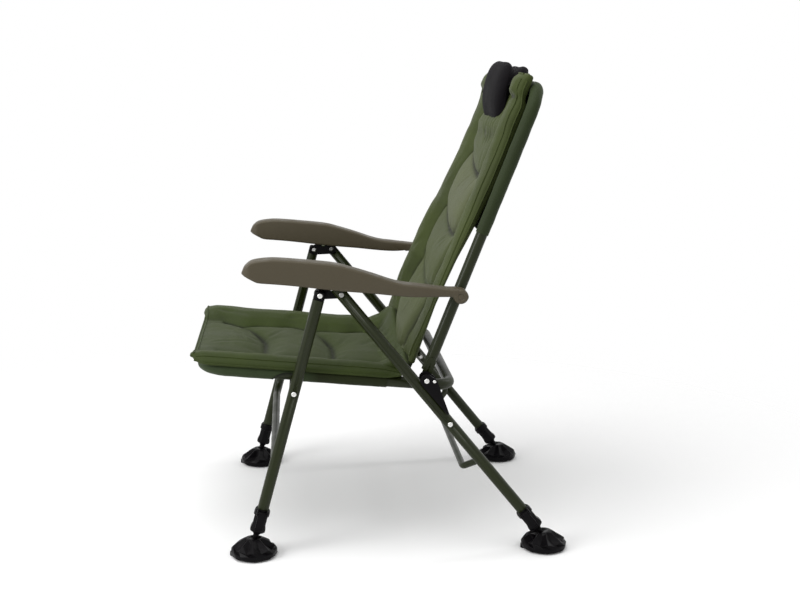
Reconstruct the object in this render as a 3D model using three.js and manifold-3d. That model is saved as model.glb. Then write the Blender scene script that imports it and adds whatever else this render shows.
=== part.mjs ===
// Folding carp fishing armchair: reclining back, notched sliding armrests, folding front legs,
// four telescopic legs with cam locks and swivelling mud feet.
// Millimetres, +Z up. The chair faces -Y, and the sitter's left is +X.
import * as THREE from 'three';
import { mergeVertices } from 'three/addons/utils/BufferGeometryUtils.js';
import Module from 'manifold-3d';

const wasm = await Module();
wasm.setup();

const rad = THREE.MathUtils.degToRad;
const spot = (y, z) => new THREE.Vector2(y, z);

// Clearances
const gap = 0.3; // between pieces that touch
const play = 0.5; // between plates that turn past each other
const overrun = 3; // how far a cut runs past the face that it opens
const weld = 1; // how far a lug runs into the tube that it is welded to

// Facets
const sides = { leg: 14, bend: 12, bar: 8, bolt: 8, turned: 10, foot: 8 };
const bendSteps = 4;

// Tubing
const tube = { radius: 12.5, wall: 1.3 };
const frontBar = { radius: 9.2, wall: 1.2 };
const rearBar = { radius: 7.5, wall: 1.2 };
const slide = { radius: 10.65, wall: 1.3, length: 145 };
const sleeve = { clear: 0.3, thickness: 2 }; // fabric round a tube

// Stance
const legPlane = 310; // middle plane of each side's legs
const ballHeight = 28; // centre of each foot's ball joint above the ground
const topBolt = { setOut: 179.3, height: 583.2, spacing: 45.3, rise: 1.9 }; // tops of the legs
const frontLeg = { lean: rad(-14.8) };
const rearLeg = { lean: rad(39.3) };
const legEnd = 36; // each leg tube stops this far short of its ball

// Where the pieces meet
const frontBoltDrop = 222; // down the front leg from its top bolt
const rearBoltDrop = 375; // down the rear leg from its top bolt
const hingeDrop = 264; // down the rear leg
const hingeSetback = 22; // behind the rear leg's axis
const rackSlope = rad(3.8); // fall of an armrest's rack towards the back

// Seat and back
const seat = {
  drop: 20.6, front: 482, rear: 62, frontBend: 55, rearBend: 42, joint: 30, jointPlug: 36,
  slingRear: 81,
};
const back = { lean: rad(21), top: 666, bend: 58, start: 13, slingStart: 336 };

// Hooks under the seat that rest on the front legs' bolts
const hook = { drop: 30.4, halfThickness: 5, reach: 10, play: 0.5, mouthTurn: rad(34.4) };

// Bolts
const bolt = { shank: 3.9, bore: 4.2, head: 5.6, headHeight: 2.8, nut: 5.4, nutHeight: 2.2 };
const plate = 3; // thickness of the steel plates

const finishes = {
  paint: new THREE.MeshStandardMaterial({ color: 0x3b413a, roughness: 0.42, metalness: 0.55 }),
  blackSteel: new THREE.MeshStandardMaterial({ color: 0x1b1b1b, roughness: 0.5, metalness: 0.4 }),
  zinc: new THREE.MeshStandardMaterial({ color: 0xc9cac8, roughness: 0.3, metalness: 1 }),
  armPlastic: new THREE.MeshStandardMaterial({ color: 0x5b5349, roughness: 0.55, metalness: 0 }),
  blackPlastic: new THREE.MeshStandardMaterial({ color: 0x1c1b1d, roughness: 0.45, metalness: 0 }),
  sling: new THREE.MeshStandardMaterial({ color: 0x2f3a27, roughness: 0.9, metalness: 0 }),
  padding: new THREE.MeshStandardMaterial({ color: 0x3a472e, roughness: 0.85, metalness: 0 }),
  pillow: new THREE.MeshStandardMaterial({ color: 0x232125, roughness: 0.85, metalness: 0 }),
};

// Closed meshes, their joins and their cuts

function closedMesh(geometry) {
  const bare = geometry.clone();
  bare.deleteAttribute('normal');
  bare.deleteAttribute('uv');
  const merged = mergeVertices(bare);
  const corners = merged.index.array;
  const kept = [];
  for (let i = 0; i < corners.length; i += 3) {
    const [a, b, c] = [corners[i], corners[i + 1], corners[i + 2]];
    if (a !== b && b !== c && c !== a) kept.push(a, b, c);
  }
  merged.setIndex(kept);
  return volumeOf(merged) < 0 ? turned(merged) : merged;
}

function volumeOf(geometry) {
  const place = geometry.attributes.position;
  const corners = geometry.index.array;
  const [a, b, c] = [new THREE.Vector3(), new THREE.Vector3(), new THREE.Vector3()];
  let total = 0;
  for (let i = 0; i < corners.length; i += 3) {
    a.fromBufferAttribute(place, corners[i]);
    b.fromBufferAttribute(place, corners[i + 1]);
    c.fromBufferAttribute(place, corners[i + 2]);
    total += a.dot(b.cross(c)) / 6;
  }
  return total;
}

function turned(geometry) {
  const corners = Array.from(geometry.index.array);
  for (let i = 0; i < corners.length; i += 3) {
    [corners[i + 1], corners[i + 2]] = [corners[i + 2], corners[i + 1]];
  }
  geometry.setIndex(corners);
  return geometry;
}

function solidOf(geometry) {
  const closed = closedMesh(geometry);
  return new wasm.Manifold(new wasm.Mesh({
    numProp: 3,
    vertProperties: new Float32Array(closed.attributes.position.array),
    triVerts: new Uint32Array(closed.index.array),
  }));
}

function geometryOf(solid) {
  const mesh = solid.getMesh();
  const geometry = new THREE.BufferGeometry();
  geometry.setAttribute('position', new THREE.BufferAttribute(new Float32Array(mesh.vertProperties), 3));
  geometry.setIndex(Array.from(mesh.triVerts));
  return geometry;
}

function join(first, ...others) {
  return geometryOf(others.reduce((sum, other) => sum.add(solidOf(other)), solidOf(first)));
}

function cut(first, ...others) {
  return geometryOf(others.reduce((rest, other) => rest.subtract(solidOf(other)), solidOf(first)));
}

function common(first, other) {
  return geometryOf(solidOf(first).intersect(solidOf(other)));
}

function mirrored(geometry) {
  return turned(closedMesh(geometry).scale(-1, 1, 1));
}

const withMirror = (geometry) => join(geometry, mirrored(geometry));

// Shapes

function circle(radius, count, centre = spot(0, 0)) {
  const points = [];
  for (let i = 0; i < count; i += 1) {
    const angle = ((i + 0.5) / count) * 2 * Math.PI;
    points.push(spot(centre.x + radius * Math.cos(angle), centre.y + radius * Math.sin(angle)));
  }
  return new THREE.Shape(points);
}

function arc(centre, radius, fromDegrees, toDegrees, steps) {
  const points = [];
  for (let i = 0; i <= steps; i += 1) {
    const angle = rad(fromDegrees + ((toDegrees - fromDegrees) * i) / steps);
    points.push(spot(centre.x + radius * Math.cos(angle), centre.y + radius * Math.sin(angle)));
  }
  return points;
}

// A side outline is drawn in Y and Z, and its thickness runs along X
function sideSlab(outline, fromX, toX, options = {}) {
  const shape = outline instanceof THREE.Shape ? outline : new THREE.Shape(outline);
  const settings = { depth: toX - fromX, bevelEnabled: false, ...options };
  const turn = new THREE.Matrix4().set(0, 0, 1, fromX, 1, 0, 0, 0, 0, 1, 0, 0, 0, 0, 0, 1);
  return new THREE.ExtrudeGeometry(shape, settings).applyMatrix4(turn);
}

// A bore's flats, not its corners, lie at its radius, so what is in it stays clear all round
const boreCorner = (radius, count) => radius / Math.cos(Math.PI / count);

function boreX(radius, fromX, toX, centre, count = sides.bolt) {
  const outline = circle(boreCorner(radius, count), count, centre);
  return sideSlab(outline, fromX - overrun, toX + overrun);
}

// A flat plate round several discs, each a place and a radius
function plateRound(discs, fromX, toX) {
  const points = discs.flatMap(([centre, radius]) => arc(centre, radius, 0, 345, 23))
    .flatMap((point) => [fromX, toX].map((x) => [x, point.x, point.y]));
  return geometryOf(wasm.Manifold.hull(points));
}

function block(from, to) {
  const size = new THREE.Vector3().subVectors(to, from);
  const middle = new THREE.Vector3().addVectors(from, to).multiplyScalar(0.5);
  return new THREE.BoxGeometry(size.x, size.y, size.z).translate(middle.x, middle.y, middle.z);
}

// A turned piece on the Z axis, from pairs of radius and height
function turnedPiece(pairs, count) {
  const profile = pairs.map(([radius, height]) => spot(radius, height));
  return new THREE.LatheGeometry(profile, count).rotateX(Math.PI / 2).rotateZ(Math.PI / count);
}

// The same on an X axis through a place in the side view
function turnedX(pairs, place, count = sides.bolt) {
  return turnedPiece(pairs, count).rotateY(Math.PI / 2).translate(0, place.x, place.y);
}

const at = (x, y, z) => new THREE.Vector3(x, y, z);

// A run of tube, with a ring at each end and a few round each bend
class TubeRun extends THREE.Curve {
  constructor(corners, bendRadius) {
    super();
    const last = corners.length - 1;
    const heading = (i) => new THREE.Vector3().subVectors(corners[i + 1], corners[i]).normalize();
    this.stations = [{ place: corners[0], way: heading(0) }];
    for (let i = 1; i < last; i += 1) {
      const [before, after] = [heading(i - 1), heading(i)];
      const turn = before.angleTo(after);
      const reach = bendRadius * Math.tan(turn / 2);
      const inward = new THREE.Vector3().subVectors(after, before).normalize();
      const centre = corners[i].clone().addScaledVector(inward, bendRadius / Math.cos(turn / 2));
      const start = corners[i].clone().addScaledVector(before, -reach);
      const axis = new THREE.Vector3().crossVectors(before, after).normalize();
      for (let step = 0; step <= bendSteps; step += 1) {
        const angle = (turn * step) / bendSteps;
        const place = start.clone().sub(centre).applyAxisAngle(axis, angle).add(centre);
        this.stations.push({ place, way: before.clone().applyAxisAngle(axis, angle) });
      }
    }
    this.stations.push({ place: corners[last], way: heading(last - 1) });
  }

  station(share) {
    return this.stations[Math.round(share * (this.stations.length - 1))];
  }

  getPointAt(share) {
    return this.station(share).place.clone();
  }

  getTangentAt(share) {
    return this.station(share).way.clone();
  }
}

// A closed run ends flat, and its cutter runs on past both ends
function sweep(corners, bendRadius, radius, extra = 0, count = sides.bend) {
  const [first, last] = [corners[0].clone(), corners[corners.length - 1].clone()];
  const outward = (end, next) => new THREE.Vector3().subVectors(end, next).normalize();
  const ends = [
    first.addScaledVector(outward(first, corners[1]), extra),
    last.addScaledVector(outward(last, corners[corners.length - 2]), extra),
  ];
  const run = new TubeRun([ends[0], ...corners.slice(1, -1), ends[1]], bendRadius);
  const settings = { steps: run.stations.length - 1, extrudePath: run };
  return new THREE.ExtrudeGeometry(circle(radius, count), settings);
}

// Soft forms

function mirroredShares(half) {
  return [...half, ...half.slice(0, -1).reverse().map((share) => 1 - share)];
}

// Two faces over one grid of shares, joined by a rounded rim
function cushion(across, along, front, rear, rim) {
  const points = [];
  const index = new Map();
  const faces = [];
  const place = (kind, i, j) => {
    const key = `${kind} ${i} ${j}`;
    if (!index.has(key)) {
      const side = { front, rear, rim }[kind];
      index.set(key, points.length / 3);
      points.push(...side(across[i], along[j]).toArray());
    }
    return index.get(key);
  };
  const quad = (a, b, c, d) => faces.push(a, b, c, a, c, d);
  const [lastI, lastJ] = [across.length - 1, along.length - 1];
  for (let i = 0; i < lastI; i += 1) {
    for (let j = 0; j < lastJ; j += 1) {
      const cell = (kind) => [[i, j], [i + 1, j], [i + 1, j + 1], [i, j + 1]].map(([p, q]) => place(kind, p, q));
      quad(...cell('front'));
      quad(...cell('rear').reverse());
    }
  }
  const edge = [];
  for (let i = 0; i < lastI; i += 1) edge.push([i, 0]);
  for (let j = 0; j < lastJ; j += 1) edge.push([lastI, j]);
  for (let i = lastI; i > 0; i -= 1) edge.push([i, lastJ]);
  for (let j = lastJ; j > 0; j -= 1) edge.push([0, j]);
  edge.forEach((from, n) => {
    const to = edge[(n + 1) % edge.length];
    quad(place('rim', ...from), place('rim', ...to), place('front', ...to), place('front', ...from));
    quad(place('rear', ...from), place('rear', ...to), place('rim', ...to), place('rim', ...from));
  });
  const geometry = new THREE.BufferGeometry();
  geometry.setAttribute('position', new THREE.BufferAttribute(new Float32Array(points), 3));
  geometry.setIndex(faces);
  return geometry;
}

// A soft roll through rings of points, each end closed on a middle point
function roll(rings) {
  const count = rings[0].length;
  const points = rings.flat().flatMap((point) => point.toArray());
  const faces = [];
  for (let r = 0; r < rings.length - 1; r += 1) {
    for (let i = 0; i < count; i += 1) {
      const next = (i + 1) % count;
      const [a, b, c, d] = [r * count + i, r * count + next, (r + 1) * count + next, (r + 1) * count + i];
      faces.push(a, b, c, a, c, d);
    }
  }
  [rings[0], rings[rings.length - 1]].forEach((ring, end) => {
    const middle = ring.reduce((sum, point) => sum.add(point), at(0, 0, 0)).divideScalar(count);
    const centre = points.length / 3;
    points.push(...middle.toArray());
    const first = end === 0 ? 0 : (rings.length - 1) * count;
    for (let i = 0; i < count; i += 1) {
      const next = (i + 1) % count;
      if (end === 0) faces.push(centre, first + next, first + i);
      else faces.push(centre, first + i, first + next);
    }
  });
  const geometry = new THREE.BufferGeometry();
  geometry.setAttribute('position', new THREE.BufferAttribute(new Float32Array(points), 3));
  geometry.setIndex(faces);
  return geometry;
}

// A curve's height over a place
function heightAt(curve, y) {
  const points = curve.getPoints(60);
  for (let i = 1; i < points.length; i += 1) {
    const [from, to] = [points[i - 1], points[i]];
    if ((from.x - y) * (to.x - y) <= 0) {
      return THREE.MathUtils.lerp(from.y, to.y, (y - from.x) / (to.x - from.x));
    }
  }
  return points[points.length - 1].y;
}

// A value read from pairs of share and value, eased between them
function along(pairs, share) {
  const last = pairs.length - 1;
  if (share <= pairs[0][0]) return pairs[0][1];
  for (let i = 1; i <= last; i += 1) {
    const [[from, low], [to, high]] = [pairs[i - 1], pairs[i]];
    if (share <= to) return THREE.MathUtils.lerp(low, high, (share - from) / (to - from));
  }
  return pairs[last][1];
}

// Places in the side view

frontLeg.top = spot(-topBolt.setOut, topBolt.height);
rearLeg.top = frontLeg.top.clone().add(spot(topBolt.spacing, topBolt.rise));
for (const leg of [frontLeg, rearLeg]) {
  leg.length = (leg.top.y - ballHeight) / Math.cos(leg.lean);
  leg.ballY = leg.top.x + leg.length * Math.sin(leg.lean);
}

function downLeg(leg, drop, setback = 0) {
  return leg.top.clone().add(spot(setback, -drop).rotateAround(spot(0, 0), leg.lean));
}

const hinge = downLeg(rearLeg, hingeDrop, hingeSetback);
const frontBolt = downLeg(frontLeg, frontBoltDrop);
const hingeToBolt = hinge.clone().sub(frontBolt);
seat.rise = Math.asin((seat.drop + hook.drop) / hingeToBolt.length()) - hingeToBolt.angle();

const chair = new THREE.Group();

// A frame for pieces at a place in the side view, with the chair's middle plane at X = 0
function frameAt(place, lean) {
  const frame = new THREE.Group();
  frame.position.set(0, place.x, place.y);
  frame.rotation.x = lean;
  chair.add(frame);
  return frame;
}

function seenFrom(frame, place) {
  return place.clone().sub(spot(frame.position.y, frame.position.z))
    .rotateAround(spot(0, 0), -frame.rotation.x);
}

// The pin that each armrest's rack rests on, between the tops of the legs
const rackPin = {
  betweenShare: 0.537, rise: 13.8, radius: 4, bore: 4.3, head: 5.6, headHeight: 1.2, outerStop: 11.5,
};
rackPin.place = frontLeg.top.clone().lerp(rearLeg.top, rackPin.betweenShare).add(spot(0, rackPin.rise));
// The armrests lie level where their pivots are this far up the back's tubes
const hingeToPin = rackPin.place.clone().sub(hinge).rotateAround(spot(0, 0), rackSlope);
const armrestHeight = hingeToPin.y / Math.cos(back.lean - rackSlope);
const armrestPivot = hinge.clone().add(spot(0, armrestHeight).rotateAround(spot(0, 0), -back.lean));

const topFrame = frameAt(frontLeg.top, 0);
const frontLegFrame = frameAt(frontLeg.top, frontLeg.lean);
const rearLegFrame = frameAt(rearLeg.top, rearLeg.lean);
const seatFrame = frameAt(hinge, -seat.rise);
const backFrame = frameAt(hinge, -back.lean);
const armrestFrame = frameAt(armrestPivot, 0);

function add(frame, name, geometry, finish) {
  const piece = new THREE.Mesh(geometryOf(solidOf(geometry)), finish);
  piece.geometry.computeVertexNormals();
  piece.name = name;
  frame.add(piece);
}

function addPair(frame, name, geometry, finish) {
  add(frame, `${name}_left`, geometry, finish);
  add(frame, `${name}_right`, mirrored(geometry), finish);
}

// Plates and lugs beside each side's legs, as spans in X
const legOuter = legPlane + tube.radius;
const legInner = legPlane - tube.radius;
const span = {
  innerPlate: [legInner - play - plate, legInner - play],
  outerPlate: [legOuter + play, legOuter + play + plate],
};
const tongueThickness = 4;
const tongueTo = span.innerPlate[0] - play;
span.tongue = [tongueTo - tongueThickness, tongueTo];
const lugThickness = 7.5;
const lugTo = span.tongue[0] - play;
span.seatLug = [lugTo - lugThickness, lugTo];
back.halfWidth = span.tongue[0] + weld - tube.radius;
seat.halfWidth = span.seatLug[0] + weld - tube.radius;

// A bolt along X: domed head outside, plain nut inside
function boltX(place, outerX, innerX) {
  const headX = outerX + gap;
  const nutX = innerX - gap;
  const domeShare = 0.6;
  return turnedX([
    [0, headX + bolt.headHeight],
    [bolt.head * domeShare, headX + bolt.headHeight],
    [bolt.head, headX + bolt.headHeight * domeShare],
    [bolt.head, headX],
    [bolt.shank, headX],
    [bolt.shank, nutX],
    [bolt.nut, nutX],
    [bolt.nut, nutX - bolt.nutHeight],
    [0, nutX - bolt.nutHeight],
  ], place);
}

// A pin along X with one flat head, and a plain end
function headedPin(place, radius, headRadius, headHeight, headX, endX) {
  const outward = Math.sign(headX - endX);
  return turnedX([
    [0, headX + outward * headHeight],
    [headRadius, headX + outward * headHeight],
    [headRadius, headX],
    [radius, headX],
    [radius, endX],
    [0, endX],
  ], place);
}

// Rear legs: straight tubes, cut level under the armrests
const rearLegLevel = 8; // top of the cut above the bolt
{
  const above = 60;
  const ring = circle(tube.radius, sides.leg);
  ring.holes.push(circle(tube.radius - tube.wall, sides.leg));
  const length = above + rearLeg.length - legEnd;
  const bar = new THREE.ExtrudeGeometry(ring, { depth: length, bevelEnabled: false })
    .translate(legPlane, 0, -rearLeg.length + legEnd);
  const cap = block(
    at(legInner - overrun, -2 * above, rearLegLevel),
    at(legOuter + overrun, 2 * above, 2 * above),
  ).rotateX(-rearLeg.lean);
  const bores = [0, -rearBoltDrop].map((z) => boreX(bolt.bore, legInner, legOuter, spot(0, z)));
  addPair(rearLegFrame, 'rear_leg', cut(bar, cap, ...bores), finishes.paint);
}

// Front legs: each top ends in a black eye that is plugged into the tube
const eye = { above: 9, below: 11, plug: 20 };
{
  const ring = circle(tube.radius, sides.leg);
  ring.holes.push(circle(tube.radius - tube.wall, sides.leg));
  const length = frontLeg.length - legEnd - eye.below;
  const bar = new THREE.ExtrudeGeometry(ring, { depth: length, bevelEnabled: false })
    .translate(legPlane, 0, -frontLeg.length + legEnd);
  const bore = boreX(bolt.bore, legInner, legOuter, spot(0, -frontBoltDrop));
  addPair(frontLegFrame, 'front_leg', cut(bar, bore), finishes.paint);

  const roundShare = 0.75;
  const stem = (tube.radius - tube.wall) * Math.cos(Math.PI / sides.leg) - gap;
  const head = turnedPiece([
    [0, eye.above],
    [tube.radius * roundShare, eye.above],
    [tube.radius, eye.above * roundShare],
    [tube.radius, -eye.below + gap],
    [stem, -eye.below + gap],
    [stem, -eye.below - eye.plug],
    [0, -eye.below - eye.plug],
  ], sides.leg).translate(legPlane, 0, 0);
  const pivot = boreX(bolt.bore, legInner, legOuter, spot(0, 0));
  addPair(frontLegFrame, 'front_leg_eye', cut(head, pivot), finishes.blackPlastic);
}

// Top plates: each holds both legs and the pin that the armrest's rack rests on
{
  const rearBolt = seenFrom(topFrame, rearLeg.top);
  const pinPlace = seenFrom(topFrame, rackPin.place);
  const lug = 12.4;
  const pinLug = 8;
  const slab = plateRound([[spot(0, 0), lug], [rearBolt, lug], [pinPlace, pinLug]], ...span.innerPlate);
  const bores = [spot(0, 0), rearBolt].map((place) => boreX(bolt.bore, ...span.innerPlate, place));
  const pinBore = boreX(rackPin.bore, ...span.innerPlate, pinPlace);
  addPair(topFrame, 'leg_top_plate', cut(slab, ...bores, pinBore), finishes.blackSteel);

  const pin = headedPin(
    pinPlace, rackPin.radius, rackPin.head, rackPin.headHeight,
    span.innerPlate[0] - gap, legPlane + rackPin.outerStop,
  );
  addPair(topFrame, 'rack_pin', pin, finishes.zinc);
  const pivotBolt = boltX(spot(0, 0), legOuter, span.innerPlate[0]);
  addPair(topFrame, 'front_pivot_bolt', pivotBolt, finishes.zinc);
  const legBolt = boltX(rearBolt, legOuter, span.innerPlate[0]);
  addPair(topFrame, 'rear_leg_bolt', legBolt, finishes.zinc);
}

// Hinge plates: channels that hug the rear legs and carry the seat and the back
{
  const place = spot(hingeSetback, -hingeDrop);
  const lug = 14.5;
  const stopPin = { offset: 12, lug: 6, radius: 2.2, bore: 2.5, head: 3.4, headHeight: 1.6 };
  stopPin.place = place.clone().add(spot(stopPin.offset, -stopPin.offset));
  const tip = { frontSet: 9, rearSet: 14, below: 89 };
  const outline = [
    ...arc(place, lug, 30, 195, 6),
    spot(tip.frontSet, -hingeDrop - tip.below),
    spot(tip.rearSet, -hingeDrop - tip.below),
    ...arc(stopPin.place, stopPin.lug, -30, 30, 2),
  ];
  const web = { above: 2, below: 81, face: tube.radius + gap };
  const webPlate = block(
    at(span.innerPlate[0], web.face, -hingeDrop - web.below),
    at(span.outerPlate[1], web.face + plate, -hingeDrop + web.above),
  );
  const cheeks = [span.innerPlate, span.outerPlate].map((where) => sideSlab(outline, ...where));
  const channel = join(...cheeks, webPlate);
  const pivot = boreX(bolt.bore, span.innerPlate[0], span.outerPlate[1], place);
  const pinBore = boreX(stopPin.bore, span.innerPlate[0], span.outerPlate[1], stopPin.place);
  addPair(rearLegFrame, 'hinge_plate', cut(channel, pivot, pinBore), finishes.blackSteel);

  const hingeBolt = boltX(place, span.outerPlate[1], span.seatLug[0]);
  addPair(rearLegFrame, 'hinge_bolt', hingeBolt, finishes.zinc);
  const pin = headedPin(
    stopPin.place, stopPin.radius, stopPin.head, stopPin.headHeight,
    span.outerPlate[1] + gap, span.innerPlate[0],
  );
  addPair(rearLegFrame, 'hinge_stop_pin', pin, finishes.zinc);
}

// Stretchers: bent tubes bolted inside the legs
{
  const armX = legInner - gap - frontBar.radius;
  const endAbove = 8;
  const crossBelow = 170;
  const crossDrop = frontBoltDrop + crossBelow;
  const bend = 35;
  const corners = [
    at(armX, 0, -frontBoltDrop + endAbove), at(armX, 0, -crossDrop),
    at(-armX, 0, -crossDrop), at(-armX, 0, -frontBoltDrop + endAbove),
  ];
  const bar = sweep(corners, bend, frontBar.radius, 0, sides.bar);
  const hollow = sweep(corners, bend, frontBar.radius - frontBar.wall, overrun, sides.bar);
  const bore = boreX(bolt.bore, armX - frontBar.radius, legInner, spot(0, -frontBoltDrop));
  const piece = cut(bar, hollow, bore, mirrored(bore));
  add(frontLegFrame, 'front_stretcher', piece, finishes.paint);
}
{
  const armX = legInner - gap - rearBar.radius;
  const endAbove = 8;
  const elbowBelow = 119; // where the arms leave the legs, below their bolts
  const elbowDrop = rearBoltDrop + elbowBelow;
  const cross = { ahead: 45.4, inset: 40 }; // from each elbow to the cross bar
  const bend = 22;
  const half = [
    at(armX, 0, -rearBoltDrop + endAbove), at(armX, 0, -elbowDrop),
    at(armX - cross.inset, -cross.ahead, -elbowDrop),
  ];
  const other = half.map((point) => at(-point.x, point.y, point.z)).reverse();
  const corners = [...half, ...other];
  const bar = sweep(corners, bend, rearBar.radius, 0, sides.bar);
  const hollow = sweep(corners, bend, rearBar.radius - rearBar.wall, overrun, sides.bar);
  const bore = boreX(bolt.bore, armX - rearBar.radius, legInner, spot(0, -rearBoltDrop));
  add(rearLegFrame, 'rear_stretcher', cut(bar, hollow, bore, mirrored(bore)), finishes.paint);

  const stretcherBolt = boltX(spot(0, -rearBoltDrop), legOuter, armX - rearBar.radius);
  addPair(rearLegFrame, 'rear_stretcher_bolt', stretcherBolt, finishes.zinc);
}

// The front stretcher's bolts run on inwards, and the seat's hooks rest on them
{
  const endBeyond = 4;
  const endX = seat.halfWidth - hook.halfThickness - endBeyond;
  const headX = legOuter + gap;
  const pin = headedPin(
    spot(0, -frontBoltDrop), bolt.shank, bolt.head, bolt.headHeight, headX, endX,
  );
  addPair(frontLegFrame, 'front_stretcher_bolt', pin, finishes.zinc);
}

// Seat frame: a front loop with hooks, and a rear loop plugged into it with the hinge lugs
const tubeBore = tube.radius - tube.wall;
{
  const axisZ = -seat.drop;
  const corners = [
    at(seat.halfWidth, -seat.joint, axisZ), at(seat.halfWidth, -seat.front, axisZ),
    at(-seat.halfWidth, -seat.front, axisZ), at(-seat.halfWidth, -seat.joint, axisZ),
  ];
  const loop = sweep(corners, seat.frontBend, tube.radius);
  const hollow = sweep(corners, seat.frontBend, tubeBore, overrun);

  const pin = seenFrom(seatFrame, frontBolt);
  const mouthWay = spot(0, -1).rotateAround(spot(0, 0), hook.mouthTurn + seat.rise);
  const mouthAcross = spot(-mouthWay.y, mouthWay.x);
  const slot = bolt.shank + hook.play;
  const mouthEnd = 2 * hook.reach;
  const hookOutline = [
    spot(pin.x - hook.reach, axisZ),
    ...arc(pin, hook.reach, 180, 360, 8),
    spot(pin.x + hook.reach, axisZ),
  ];
  const mouth = [
    pin.clone().addScaledVector(mouthAcross, slot),
    pin.clone().addScaledVector(mouthAcross, -slot),
    pin.clone().addScaledVector(mouthAcross, -slot).addScaledVector(mouthWay, mouthEnd),
    pin.clone().addScaledVector(mouthAcross, slot).addScaledVector(mouthWay, mouthEnd),
  ];
  const hookSpan = [seat.halfWidth - hook.halfThickness, seat.halfWidth + hook.halfThickness];
  const hookPlate = cut(
    sideSlab(hookOutline, ...hookSpan),
    boreX(slot, ...hookSpan, pin, 2 * sides.bolt),
    sideSlab(mouth, hookSpan[0] - overrun, hookSpan[1] + overrun),
  );
  add(seatFrame, 'seat_frame', cut(join(loop, hookPlate, mirrored(hookPlate)), hollow), finishes.paint);

  const rearCorners = [
    at(seat.halfWidth, -seat.joint + gap, axisZ), at(seat.halfWidth, seat.rear, axisZ),
    at(-seat.halfWidth, seat.rear, axisZ), at(-seat.halfWidth, -seat.joint + gap, axisZ),
  ];
  const plugCorners = rearCorners.map((point) => point.clone());
  plugCorners[0].y -= seat.jointPlug;
  plugCorners[3].y -= seat.jointPlug;
  const plugRadius = tubeBore * Math.cos(Math.PI / sides.bend) - gap;
  const rearLoop = join(
    sweep(rearCorners, seat.rearBend, tube.radius),
    sweep(plugCorners, seat.rearBend, plugRadius),
  );
  const rearHollow = sweep(plugCorners, seat.rearBend, plugRadius - tube.wall, overrun);
  const lugRadius = 10;
  const lugOutline = [
    ...arc(spot(0, 0), lugRadius, 0, 180, 6), spot(-lugRadius, axisZ), spot(lugRadius, axisZ),
  ];
  const lug = cut(sideSlab(lugOutline, ...span.seatLug), boreX(bolt.bore, ...span.seatLug, spot(0, 0)));
  const piece = cut(join(rearLoop, lug, mirrored(lug)), rearHollow);
  add(seatFrame, 'seat_rear_bar', piece, finishes.paint);
}

// Slings: fabric sleeves round a loop of tube, with a sheet between them
const slingRadius = tube.radius + sleeve.clear + sleeve.thickness;
const sleeveBore = tube.radius + sleeve.clear;
{
  const axisZ = -seat.drop;
  const corners = [
    at(seat.halfWidth, -seat.slingRear, axisZ), at(seat.halfWidth, -seat.front, axisZ),
    at(-seat.halfWidth, -seat.front, axisZ), at(-seat.halfWidth, -seat.slingRear, axisZ),
  ];
  const round = sweep(corners, seat.frontBend, slingRadius);
  const bore = sweep(corners, seat.frontBend, sleeveBore, overrun);
  // A sheet with the loop's own rounded corners
  const plan = new THREE.Shape();
  const corner = seat.halfWidth - seat.frontBend;
  plan.moveTo(-seat.halfWidth, -seat.slingRear);
  plan.lineTo(-seat.halfWidth, -seat.front + seat.frontBend);
  plan.absarc(-corner, -seat.front + seat.frontBend, seat.frontBend, Math.PI, 1.5 * Math.PI, false);
  plan.absarc(corner, -seat.front + seat.frontBend, seat.frontBend, 1.5 * Math.PI, 2 * Math.PI, false);
  plan.lineTo(seat.halfWidth, -seat.slingRear);
  const sheet = new THREE.ExtrudeGeometry(plan, {
    depth: sleeve.thickness, bevelEnabled: false, curveSegments: 4,
  }).translate(0, 0, axisZ - sleeve.thickness / 2);
  const opening = { offset: 14.3, radius: 42 }; // lets the hooks out
  const openingPlace = seenFrom(seatFrame, frontBolt).sub(spot(opening.offset, opening.offset));
  const gapCut = sideSlab(
    circle(opening.radius, 4 * sides.bolt, openingPlace),
    seat.halfWidth - slingRadius - overrun, seat.halfWidth + slingRadius + overrun,
  );
  const piece = cut(join(round, sheet), bore, gapCut, mirrored(gapCut));
  add(seatFrame, 'seat_sling', piece, finishes.sling);
}

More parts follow.
